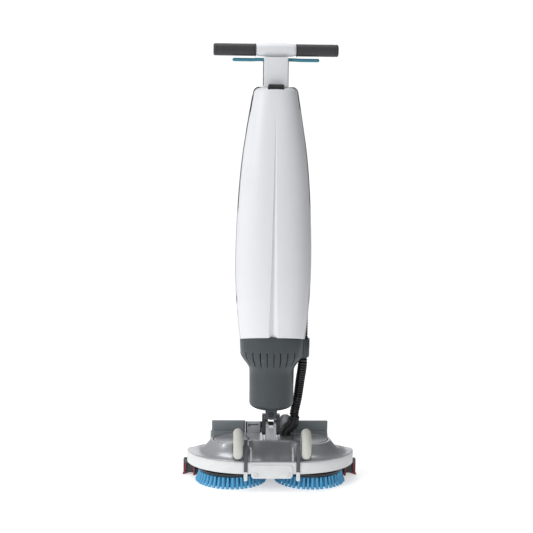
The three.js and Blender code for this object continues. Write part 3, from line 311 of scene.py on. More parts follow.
# ---------------------------------------------------------------------------------------------
# Mesh work
# ---------------------------------------------------------------------------------------------
Ring = list[Vector]


def new_piece(name: str, points: list[Vector], faces: list[tuple],
              sharp_deg: float = 32) -> bpy.types.Object:
    """Make a mesh object with smooth faces and sharp edges where faces meet steeply.

    Args:
        name: the piece's name.
        points: its vertices.
        faces: vertex numbers of each face.
        sharp_deg: edges steeper than this stay sharp.

    Returns:
        The object, linked to the scene.
    """
    mesh = bpy.data.meshes.new(name)
    mesh.from_pydata([tuple(p) for p in points], [], faces)
    obj = bpy.data.objects.new(name, mesh)
    bpy.context.scene.collection.objects.link(obj)
    tidy_mesh(obj, sharp_deg)
    return obj


def tidy_mesh(obj: bpy.types.Object, sharp_deg: float = 32) -> None:
    """Turn the faces outwards, and set smooth shading with sharp edges.

    Args:
        obj: the object.
        sharp_deg: edges steeper than this stay sharp.
    """
    work = bmesh.new()
    work.from_mesh(obj.data)
    bmesh.ops.remove_doubles(work, verts=work.verts, dist=1e-6)
    bmesh.ops.recalc_face_normals(work, faces=work.faces)
    work.to_mesh(obj.data)
    work.free()
    for face in obj.data.polygons:
        face.use_smooth = True
    obj.data.set_sharp_from_angle(angle=math.radians(sharp_deg))


def place(obj: bpy.types.Object, body: str | None, finish: Finish, *nodes: str) -> bpy.types.Object:
    """Give a piece its finish and its body, and say which CAD nodes it stands for.

    Args:
        obj: the piece.
        body: the CAD body it rides on, or None to leave it unattached.
        finish: what it is made of.
        nodes: the CAD nodes that it replaces.

    Returns:
        The piece.
    """
    obj.data.materials.clear()
    obj.data.materials.append(finish.build())
    if body:
        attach(obj, body)
    if nodes:
        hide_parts(*nodes)
    return obj


def apply_modifiers(obj: bpy.types.Object, sharp_deg: float = 32) -> bpy.types.Object:
    """Turn an object's modifiers into mesh.

    Args:
        obj: the object.
        sharp_deg: edges steeper than this stay sharp.

    Returns:
        The same object.
    """
    bpy.context.view_layer.update()
    shown = obj.evaluated_get(bpy.context.evaluated_depsgraph_get())
    old = obj.data
    obj.data = bpy.data.meshes.new_from_object(shown)
    obj.modifiers.clear()
    bpy.data.meshes.remove(old)
    tidy_mesh(obj, sharp_deg)
    return obj


def bevelled(obj: bpy.types.Object, width: float, segments: int = 2,
             angle_deg: float = 35) -> bpy.types.Object:
    """Round an object's steep edges.

    Args:
        obj: the object.
        width: how far the round reaches, in metres.
        segments: faces across the round.
        angle_deg: edges flatter than this stay as they are.

    Returns:
        The same object.
    """
    modifier = obj.modifiers.new("edge", "BEVEL")
    modifier.width = width
    modifier.segments = segments
    modifier.limit_method = "ANGLE"
    modifier.angle_limit = math.radians(angle_deg)
    modifier.harden_normals = False
    return apply_modifiers(obj)


def carved(obj: bpy.types.Object, *tools: bpy.types.Object, add: bool = False) -> bpy.types.Object:
    """Cut tools from an object, or join them to it, and remove the tools.

    Args:
        obj: the object.
        tools: closed objects.
        add: join instead of cut.

    Returns:
        The same object.
    """
    for tool in tools:
        modifier = obj.modifiers.new("cut", "BOOLEAN")
        modifier.operation = "UNION" if add else "DIFFERENCE"
        modifier.solver = "EXACT"
        modifier.object = tool
    apply_modifiers(obj)
    for tool in tools:
        bpy.data.objects.remove(tool)
    return obj


def joined(*objs: bpy.types.Object) -> bpy.types.Object:
    """Put several meshes into the first one's object.

    Args:
        objs: the objects.

    Returns:
        The first object.
    """
    work = bmesh.new()
    for obj in objs:
        work.from_mesh(obj.data)
    work.to_mesh(objs[0].data)
    work.free()
    for obj in objs[1:]:
        bpy.data.objects.remove(obj)
    tidy_mesh(objs[0])
    return objs[0]


def skin(name: str, rings: list[Ring], caps: bool = True, loop: bool = False,
         sharp_deg: float = 32) -> bpy.types.Object:
    """Make a skin over rings of equal length.

    Args:
        name: the piece's name.
        rings: closed rings of points.
        caps: close the first and the last ring with a face.
        loop: join the last ring to the first instead.
        sharp_deg: edges steeper than this stay sharp.

    Returns:
        The object.
    """
    n = len(rings[0])
    faces = []
    for i in range(len(rings) if loop else len(rings) - 1):
        a, b = i * n, ((i + 1) % len(rings)) * n
        faces += [(a + j, a + (j + 1) % n, b + (j + 1) % n, b + j) for j in range(n)]
    if caps and not loop:
        faces.append(tuple(range(n)))
        faces.append(tuple((len(rings) - 1) * n + j for j in range(n)))
    return new_piece(name, [p for ring in rings for p in ring], faces, sharp_deg)


def turned(name: str, profile: list[tuple[float, float]], centre: Vector, axis: str = "Z", steps: int = 64,
           sharp_deg: float = 32) -> bpy.types.Object:
    """Make a turned piece from (radius, distance along the axis) pairs.

    Args:
        name: the piece's name.
        profile: closed on itself if its ends are the same, and capped otherwise.
        centre: where the axis starts.
        axis: X, Y or Z.
        steps: faces round the axis.
        sharp_deg: edges steeper than this stay sharp.

    Returns:
        The object.
    """
    turn = {"Z": Matrix.Identity(3), "X": Matrix(((0, 0, 1), (1, 0, 0), (0, 1, 0))),
            "Y": Matrix(((0, 1, 0), (0, 0, 1), (1, 0, 0)))}[axis]
    closed = profile[0] == profile[-1]
    rings = []
    for radius, along in profile[:-1] if closed else profile:
        angles = [2 * math.pi * j / steps for j in range(steps)]
        rings.append([centre + turn @ Vector((radius * math.cos(t), radius * math.sin(t), along))
                      for t in angles])
    return skin(name, rings, caps=not closed, loop=closed, sharp_deg=sharp_deg)


def slab(name: str, outline: list[tuple[float, float]], low: float, high: float,
         axis: str = "Z") -> bpy.types.Object:
    """Make a plate from a flat outline.

    Args:
        name: the piece's name.
        outline: points in the plane across the axis, as (X, Y), (X, Z) or (Y, Z).
        low: where the plate starts on the axis.
        high: where it ends.
        axis: X, Y or Z.

    Returns:
        The object.
    """
    def at(a: float, b: float, h: float) -> Vector:
        """Put outline coordinates and a height into X, Y and Z."""
        return Vector({"Z": (a, b, h), "Y": (a, h, b), "X": (h, a, b)}[axis])
    return skin(name, [[at(a, b, h) for a, b in outline] for h in (low, high)])


def block(name: str, x: tuple, y: tuple, z: tuple) -> bpy.types.Object:
    """Make a plain box as a cutting tool or the start of a piece.

    Args:
        name: its name.
        x: its two ends along X.
        y: its two ends along Y.
        z: its two ends along Z.

    Returns:
        The object.
    """
    outline = [(x[0], y[0]), (x[1], y[0]), (x[1], y[1]), (x[0], y[1])]
    return slab(name, outline, z[0], z[1])


def rounded_outline(width: float, height: float, radius: float, x: float = 0, y: float = 0,
                    steps: int = 6) -> list[tuple[float, float]]:
    """Give the outline of a rectangle with round corners.

    Args:
        width: its whole width.
        height: its whole height.
        radius: of its corners.
        x: its middle.
        y: its middle.
        steps: faces round a corner.

    Returns:
        Its points, anticlockwise.
    """
    points = []
    for quarter, (sx, sy) in enumerate([(1, 1), (-1, 1), (-1, -1), (1, -1)]):
        for i in range(steps + 1):
            t = (quarter + i / steps) * math.pi / 2
            points.append((x + sx * (width / 2 - radius) + radius * math.cos(t),
                           y + sy * (height / 2 - radius) + radius * math.sin(t)))
    return points


def smooth_route(points: list[Vector], step: float) -> list[Vector]:
    """Give evenly spaced points on a smooth curve through a route.

    Args:
        points: the route's own points.
        step: distance between the points given back.

    Returns:
        The points.
    """
    ends = [2 * points[0] - points[1], *points, 2 * points[-1] - points[-2]]
    fine = []
    for a, b, c, d in zip(ends, ends[1:], ends[2:], ends[3:]):
        for i in range(24):
            t = i / 24
            fine.append(0.5 * (2 * b + (c - a) * t + (2 * a - 5 * b + 4 * c - d) * t ** 2
                               + (3 * b - a - 3 * c + d) * t ** 3))
    fine.append(points[-1])
    total = sum((q - p).length for p, q in zip(fine, fine[1:]))
    count = max(2, round(total / step))
    spaced, walked, k = [fine[0]], 0.0, 0
    for i in range(1, count):
        target = total * i / count
        while walked + (fine[k + 1] - fine[k]).length < target:
            walked += (fine[k + 1] - fine[k]).length
            k += 1
        part = (target - walked) / (fine[k + 1] - fine[k]).length
        spaced.append(fine[k].lerp(fine[k + 1], part))
    return [*spaced, fine[-1]]


def sweep(name: str, path: list[Vector], radius, steps: int = 40, caps: bool = True,
          sharp_deg: float = 50) -> bpy.types.Object:
    """Carry a circle along a path without twist.

    Args:
        name: the piece's name.
        path: its centres.
        radius: a number, or a function of the centre's number and its distance along the path.
        steps: faces round the path.
        caps: close the ends.
        sharp_deg: edges steeper than this stay sharp.

    Returns:
        The object.
    """
    rings, along = [], 0.0
    across = Vector((0, 1, 0))
    for i, centre in enumerate(path):
        ahead = (path[min(i + 1, len(path) - 1)] - path[max(i - 1, 0)]).normalized()
        across = (across - across.dot(ahead) * ahead).normalized()
        other = ahead.cross(across)
        along += (centre - path[i - 1]).length if i else 0
        r = radius(i, along) if callable(radius) else radius
        angles = [2 * math.pi * j / steps for j in range(steps)]
        rings.append([centre + r * (math.cos(t) * across + math.sin(t) * other) for t in angles])
    return skin(name, rings, caps=caps, sharp_deg=sharp_deg)


# ---------------------------------------------------------------------------------------------
# Places read from the frame
# ---------------------------------------------------------------------------------------------
def joint_at(name: str) -> Vector:
    """Give the point that a joint turns about.

    Args:
        name: the joint's name.

    Returns:
        The point.
    """
    return Vector(next(j["pos_m"] for j in frame["joints"] if j["name"] == name))


def middle(node: str) -> Vector:
    """Give the middle of a CAD node's box."""
    low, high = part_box(node)
    return (low + high) / 2


AXIS = joint_at("handle_steer")


# ---------------------------------------------------------------------------------------------
# Studio
# ---------------------------------------------------------------------------------------------
@dataclass
class Studio:
    """A pale floor, soft light from the left and the front, and the camera."""

    camera_x: float = -0.150
    camera_back: float = 3.5
    camera_height: float = 1.100
    aim_x: float = -0.0175
    aim_z: float = 0.5900
    roll_deg: float = 0.75
    focal_mm: float = 89.0
    floor_half: float = 1.7
    floor_glow: float = 0.48

    def camera(self) -> None:
        """Set the camera at standing height, a little to the left, looking down on the deck."""
        data = bpy.data.cameras.new("camera")
        data.lens = self.focal_mm
        data.sensor_width = 36
        data.clip_end = 200
        camera = bpy.data.objects.new("camera", data)
        bpy.context.scene.collection.objects.link(camera)
        stand = Vector((self.camera_x, AXIS.y - self.camera_back, self.camera_height))
        look = Vector((self.aim_x, AXIS.y, self.aim_z)) - stand
        turn = look.to_track_quat("-Z", "Y").to_matrix() @ Matrix.Rotation(math.radians(self.roll_deg), 3,
                                                                           "Z")
        camera.matrix_world = Matrix.Translation(stand) @ turn.to_4x4()
        bpy.context.scene.camera = camera

    def floor(self) -> None:
        """Lay a matt white floor sheet under and around the machine."""
        h = self.floor_half
        sheet = slab("floor", [(-h, -h), (h, -h), (h, h), (-h, h)], -0.02, 0.0)
        material = bpy.data.materials.new("white_floor_vinyl")
        material.use_nodes = True
        tree = material.node_tree
        tree.nodes.clear()
        shader = add_node(tree, "ShaderNodeBsdfPrincipled",
                          {"Base Color": (0.93, 0.93, 0.93, 1), "Roughness": 0.7,
                           "Emission Color": (1, 1, 1, 1), "Emission Strength": self.floor_glow})
        add_node(tree, "ShaderNodeOutputMaterial", {"Surface": shader.outputs[0]})
        sheet.data.materials.append(material)

    def lamp(self, name: str, at: tuple, size: tuple, watts: float, towards: tuple = (0, 0, 0.5)) -> None:
        """Hang one soft box.

        Args:
            name: its name.
            at: where it hangs.
            size: its width and height.
            watts: its power.
            towards: the point that it faces.
        """
        data = bpy.data.lights.new(name, "AREA")
        data.shape = "RECTANGLE"
        data.size, data.size_y = size
        data.energy = watts
        lamp = bpy.data.objects.new(name, data)
        bpy.context.scene.collection.objects.link(lamp)
        lamp.location = at
        lamp.rotation_euler = (Vector(towards) - Vector(at)).to_track_quat("-Z", "Y").to_euler()

    def light(self) -> None:
        """Set the room's glow, which falls off to the right, and four soft boxes."""
        world = bpy.data.worlds.new("room")
        bpy.context.scene.world = world
        world.use_nodes = True
        tree = world.node_tree
        tree.nodes.clear()
        direction = add_node(tree, "ShaderNodeTexCoord").outputs["Generated"]
        split = add_node(tree, "ShaderNodeSeparateXYZ", {"Vector": direction})
        side = add_node(tree, "ShaderNodeMapRange",
                        {"Value": split.outputs[0], "From Min": -0.9, "From Max": 0.9,
                                                     "To Min": 0.70, "To Max": 0.09})
        seen = add_node(tree, "ShaderNodeLightPath").outputs["Is Camera Ray"]
        strength = add_node(tree, "ShaderNodeMix", {0: seen, 2: side.outputs[0], 3: 1.05})
        glow = add_node(tree, "ShaderNodeBackground",
                        {"Color": (1, 1, 1, 1), "Strength": strength.outputs[0]})
        add_node(tree, "ShaderNodeOutputWorld", {"Surface": glow.outputs[0]})
        self.lamp("left_box", (-2.6, -2.4, 2.3), (1.2, 2.2), 40)
        self.lamp("front_box", (0.5, -4.2, 1.9), (1.6, 1.2), 13, (0, 0, 0.3))
        self.lamp("top_box", (-0.4, 0.4, 3.4), (2.4, 1.4), 32)
        self.lamp("back_box", (-0.1, 2.6, 1.05), (1.5, 0.9), 6, (0, 0, 0.15))

    def build(self) -> None:
        """Build the whole studio."""
        self.camera()
        self.floor()
        self.light()
        bpy.context.scene.view_settings.view_transform = "Standard"
        log.info("studio: camera, floor and lights")


# ---------------------------------------------------------------------------------------------
# Suction hose
# ---------------------------------------------------------------------------------------------
@dataclass
class SuctionHose:
    """The ribbed hose from the elbow on the deck up into the spine, and the elbow itself."""

    radius: float = 13.0 * MM
    rib_pitch: float = 7.2 * MM
    rib_depth: float = 3.6 * MM
    elbow_radius: float = 15.0 * MM
    lower: list = field(default_factory=lambda: [(66, 40, 166.3), (66, 40, 175), (69, 37, 195),
                                                 (73.6, 31, 221),
                                                 (75, 29, 232)])
    upper: list = field(default_factory=lambda: [(75.04, 28.95, 232.3), (76.4, 27, 243), (79, 19, 272),
                                                 (82, 6, 302),
                                                 (84.05, -1, 328), (84.05, -1, 345), (84.05, -1, 400),
                                                 (84.05, -1, 460), (84.05, -1, 528.7)])
    elbow: list = field(default_factory=lambda: [(66, 40, 166), (66, 40, 157), (63, 40, 144), (54, 40, 134),
                                                 (45, 40, 127), (42, 40, 120), (42, 40, 114.3)])

    def route(self, points: list) -> list[Vector]:
        """Turn millimetres about the column's axis into places in the frame.

        Args:
            points: the route, with y measured from the column's axis.

        Returns:
            Evenly spaced points, six to a rib.
        """
        return smooth_route([Vector((x, y, z)) * MM + Vector((0, AXIS.y, 0)) for x, y, z in points],
                            self.rib_pitch / 6)

    def ribs(self, path: list[Vector]) -> Callable[[int, float], float]:
        """Give a length's ribs, spaced so that both its ends fall on the top of one.

        Args:
            path: the length's middle line.

        Returns:
            A function from the distance along the length to its radius there.
        """
        total = sum((b - a).length for a, b in zip(path, path[1:]))
        pitch = total / round(total / self.rib_pitch)

        def radius_at(_: int, along: float) -> float:
            """Give the radius: a round-topped rib with a narrow valley at each pitch."""
            wave = abs(math.cos(math.pi * along / pitch)) ** 0.6
            return self.radius - self.rib_depth * (1 - wave)
        return radius_at

    def build_hose(self) -> None:
        """Build the two lengths."""
        low_path, high_path = self.route(self.lower), self.route(self.upper)
        low = place(sweep("suction_hose_lower", low_path, self.ribs(low_path), 28), None, HOSE_EVA,
                    "hose_lower")
        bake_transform(low)
        high = place(sweep("suction_hose_upper", high_path, self.ribs(high_path), 28), None, HOSE_EVA,
                     "hose_upper")
        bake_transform(high)

    def build_elbow(self) -> None:
        """Build the elbow with a bead at its mouth and a swept seam."""
        path = self.route(self.elbow)
        total = sum((b - a).length for a, b in zip(path, path[1:]))

        def swell(_: int, along: float) -> float:
            """Thicken the elbow to a bead at the mouth, and to a collar over the deck."""
            mouth = 1.4 * MM * math.exp(-((along - 3 * MM) / (2.2 * MM)) ** 2)
            collar = 1.2 * MM * math.exp(-((total - along) / (4 * MM)) ** 2)
            return self.elbow_radius - 1.6 * MM + mouth + collar
        body = sweep("suction_elbow_moulding", path, swell, 40, sharp_deg=60)
        place(body, "deck", BLACK_NYLON, "suction_elbow")
        clip_path = [p + Vector((0, -self.elbow_radius + 0.9 * MM, 0)) for p in path[8:34]]
        clip = sweep("elbow_seam", clip_path, 1.2 * MM, 10)
        place(clip, "deck", BLACK_NYLON)

    def build(self) -> None:
        """Build the elbow and the hose."""
        self.build_hose()
        self.build_elbow()


# ---------------------------------------------------------------------------------------------
# Body: two tanks on a spine
# ---------------------------------------------------------------------------------------------
@dataclass
class Body:
    """The barrel-shaped body: a front tank with a V groove, a rear tank, and the spine between them."""

    halves: list = field(default_factory=lambda: [(86, 386), (93, 445), (98.5, 515), (101, 605),
                                                  (98.5, 710),
                                                  (93.8, 800), (85.8, 886), (75.6, 955), (57, 1068)])
    front_ratio: float = 0.80
    rear_ratio: float = 0.98
    power: float = 2.5
    shoulder: float = 13.0 * MM
    groove_half: float = 12.0 * MM
    groove_depth: float = 9.0 * MM
    groove_top: float = 0.985
    edge: float = 1.6 * MM
    foot_clear: float = 3.5 * MM
    foot_tall: float = 90.0 * MM

    def half(self, z: float) -> float:
        """Give the body's half width at a height."""
        points = [Vector((x, h, 0)) * MM for x, h in self.halves]
        z = min(max(z, points[0].y), points[-1].y - 1e-6)
        k = next(i for i in range(len(points) - 1) if points[i + 1].y > z)
        a, b = points[max(k - 1, 0)], points[k]
        c, d = points[k + 1], points[min(k + 2, len(points) - 1)]
        t = (z - b.y) / (c.y - b.y)
        slope_b = (c.x - a.x) / (c.y - a.y) * (c.y - b.y)
        slope_c = (d.x - b.x) / (d.y - b.y) * (c.y - b.y)
        return ((2 * t ** 3 - 3 * t ** 2 + 1) * b.x + (t ** 3 - 2 * t ** 2 + t) * slope_b
                + (-2 * t ** 3 + 3 * t ** 2) * c.x + (t ** 3 - t ** 2) * slope_c)

    def depth(self, x: float, z: float, half: float, ratio: float) -> float:
        """Give how far the outside stands from the flat side at a place across."""
        share = min(1.0, abs(x) / half)
        return ratio * self.half(z) * (half / self.half(z)) * (1 - share ** self.power) ** (1 / self.power)

    def groove(self, x: float, z: float, low: float) -> float:
        """Give the groove's depth: a V that narrows and fades out to a hairline near the top."""
        fall = max(0.0, (self.groove_top - z) / (self.groove_top - low))
        wide = self.groove_half * (0.12 + 0.88 * fall ** 1.25) if fall else 1e-6
        if abs(x) >= wide:
            return 0.0
        return self.groove_depth * min(1.0, 0.10 * (fall > 0) + 0.95 * fall ** 1.1) * (1 - abs(x) / wide)

    def columns(self, z: float, half: float, low: float, grooved: bool) -> list[float]:
        """Give places across the body, closer together at its sides and along the groove's edges.

        Args:
            z: the height.
            half: the half width there.
            low: where the groove is widest.
            grooved: whether there is a groove.

        Returns:
            The places, from one side to the other.
        """
        fall = max(0.0, (self.groove_top - z) / (self.groove_top - low))
        wide = min(self.groove_half * (0.12 + 0.88 * fall ** 1.25) if grooved else 0.2 * half, 0.4 * half)
        inner = [wide * k for k in (0.0, 0.06, 0.5, 0.94, 1.0, 1.06)]
        angles = [math.asin(min(1.0, inner[-1] / half))
                  + (math.pi / 2 - math.asin(min(1.0, inner[-1] / half))) * k / 16
                  for k in range(1, 17)]
        outer = [half * math.sin(t) for t in angles]
        right = inner + outer
        return [-x for x in reversed(right)] + right[1:]

    def tank(self, name: str, low: float, high: float, flat_y: float, front: bool,
             rise: float) -> bpy.types.Object:
        """Build one tank's closed outer form.

        Args:
            name: the piece's name.
            low: the lowest point of its side.
            high: its top.
            flat_y: its flat side.
            front: whether it is the front tank, which has the groove.
            rise: how far its lower edge rises to the front.

        Returns:
            The object.
        """
        ratio, sign = (self.front_ratio, -1) if front else (self.rear_ratio, 1)
        levels = [0.0, 0.0012, 0.0035, 0.012] + [0.03 * k for k in range(1, 32)]
        heights = [low + (high - self.shoulder - low) * s for s in levels]
        rings = []
        for k, z in enumerate([*heights, high - self.shoulder]):
            tuck = self.edge * (1 - min(1.0, k / 2)) ** 2
            foot = self.foot_clear * max(0.0, 1 - (z - low) / self.foot_tall) if front else 0.0
            rings.append(self.ring(z, self.half(z) - tuck, flat_y + sign * foot, ratio, sign, front, rise,
                                   low, high, tuck))
        for k in range(1, 9):
            t = k / 8 * math.pi / 2
            z = high - self.shoulder + self.shoulder * math.sin(t)
            tuck = self.shoulder * (1 - math.cos(t))
            rings.append(self.ring(z, self.half(z) - tuck, flat_y, ratio, sign, front, 0, low, high, tuck))
        return skin(name, rings, sharp_deg=26)

    def ring(self, z: float, half: float, flat_y: float, ratio: float, sign: int, front: bool, rise: float,
             low: float, high: float, tuck: float) -> Ring:
        """Give one ring of a tank: the curved outside, and back along the flat side."""
        points = []
        for x in self.columns(z, half, low, front):
            out = self.depth(x, z, half, ratio)
            y = AXIS.y + sign * (max(out - tuck, 0) if tuck else out)
            y = min(y, flat_y) if sign < 0 else max(y, flat_y)
            slant = rise * min(1.0, (flat_y - y) / (ratio * self.half(low))) if front else 0
            lift = slant * (1 - (z - low) / (high - low)) ** 12 if rise else 0
            if front:
                y += self.groove(x, z, low)
            points.append(Vector((x, y, z + lift)))
        flat = [(points[-1].x - edge, flat_y) for edge in (0.0, 0.4 * MM)]
        flat += [(points[0].x + edge, flat_y) for edge in (0.4 * MM, 0.0)]
        return points + [Vector((x, y, z)) for x, y in flat]

    def front_tank(self) -> None:
        """Build the front tank with its groove, arched foot, catch pocket and the filler's recess."""
        low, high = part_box("front_tank")
        cap_low, cap_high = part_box("filler_cap")
        shell = self.tank("front_tank_shell", low.z, high.z, high.y, True, 18 * MM)
        latch_low, latch_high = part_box("tank_latch")
        cap_r = (cap_high.x - cap_low.x) / 2
        recess = turned("tool", [(cap_r + MM, -MM), (cap_r + MM, 12 * MM), (13 * MM, 12 * MM),
                                 (13 * MM, 26 * MM)],
                        Vector((middle("filler_cap").x, high.y, middle("filler_cap").z)), "Y", 48)
        recess.data.transform(Matrix.Translation((0, high.y, 0)) @ Matrix.Scale(-1, 4, (0, 1, 0))
                              @ Matrix.Translation((0, -high.y, 0)))
        tidy_mesh(recess)
        pocket = block("tool", (latch_low.x - 0.3 * MM, latch_high.x + 0.3 * MM),
                       (latch_low.y - 0.3 * MM, high.y + MM),
                       (latch_low.z - 3 * MM, high.z + MM))
        heel = slab("tool", [(high.y - 3.4 * MM, low.z - MM), (high.y + MM, low.z - MM),
                             (high.y + MM, low.z + 64 * MM),
                             (high.y - 3.4 * MM, low.z + 34 * MM)], -0.2, 0.2, "X")
        carved(shell, recess, pocket, heel)
        place(shell, "front_tank", SHELL_ABS, "front_tank")

    def filler_cap(self) -> None:
        """Build the screw cap with grip flutes and a raised bar to turn it by."""
        low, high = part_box("filler_cap")
        r = (high.x - low.x) / 2
        outer, teeth = [], 36
        for j in range(teeth * 4):
            t = 2 * math.pi * j / (teeth * 4)
            dip = 0.7 * MM if j % 4 < 2 else 0.0
            outer.append(((r - dip) * math.cos(t) + middle("filler_cap").x,
                          (r - dip) * math.sin(t) + middle("filler_cap").z))
        lid = slab("filler_cap_lid", outer, high.y - 5.5 * MM, high.y - 2.2 * MM, "Y")
        bevelled(lid, 0.6 * MM, 2)
        bar = slab("bar", rounded_outline(1.6 * r, 6 * MM, 3 * MM, middle("filler_cap").x,
                                          middle("filler_cap").z),
                   high.y - 3 * MM, high.y, "Y")
        bevelled(bar, 0.8 * MM, 2)
        plug = turned("plug", [(12.4 * MM, 0), (12.4 * MM, high.y - 5 * MM - low.y)],
                      Vector((middle("filler_cap").x, low.y, middle("filler_cap").z)), "Y", 40)
        place(joined(lid, bar, plug), "filler_cap", BLUE_PP, "filler_cap")

    def rear_tank(self) -> None:
        """Build the rear tank with a dished grip across its back and a pocket for its catch."""
        low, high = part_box("rear_tank")
        shell = self.tank("rear_tank_shell", low.z, high.z, low.y, False, 0.0)
        latch_low, latch_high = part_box("rear_latch")
        pocket = block("tool", (latch_low.x - 0.3 * MM, latch_high.x + 0.3 * MM),
                       (low.y - MM, latch_high.y + 0.4 * MM),
                       (latch_low.z - 3 * MM, high.z + MM))
        level = low.z + 0.86 * (high.z - low.z)
        dish = turned("tool", mm_pairs([(1, -48), (9, -44), (11, -30), (11, 30), (9, 44), (1, 48)]),
                      Vector((0, AXIS.y + self.rear_ratio * self.half(level) + 1.5 * MM, level)), "X", 40)
        carved(shell, pocket, dish)
        place(shell, "rear_tank", SHELL_ABS, "rear_tank")

    def latches(self) -> None:
        """Build the two catches with ribbed thumb faces."""
        for node, body in (("tank_latch", "tank_latch"), ("rear_latch", "rear_latch")):
            low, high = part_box(node)
            centre = middle(node)
            outline = rounded_outline(high.x - low.x, high.y - low.y, 3 * MM, centre.x, centre.y)
            catch = slab(f"{node}_catch", outline, low.z, high.z)
            bevelled(catch, 1.2 * MM, 3)
            ribs = [slab("rib", rounded_outline(high.x - low.x - 9 * MM, 1.0 * MM, 0.4 * MM, centre.x,
                                                centre.y + (k - 1.5) * 2.4 * MM, 3), high.z - 0.3 * MM,
                         high.z + 0.5 * MM)
                    for k in range(4)]
            place(joined(catch, *ribs), body, BLACK_NYLON, node)

    def spine(self) -> None:
        """Dress the spine."""
        dress("spine", SHELL_ABS)

    def build(self) -> None:
        """Build both tanks and what is on them."""
        self.front_tank()
        self.filler_cap()
        self.rear_tank()
        self.latches()
        self.spine()
        log.info("body: two tanks, filler cap, two catches, spine")


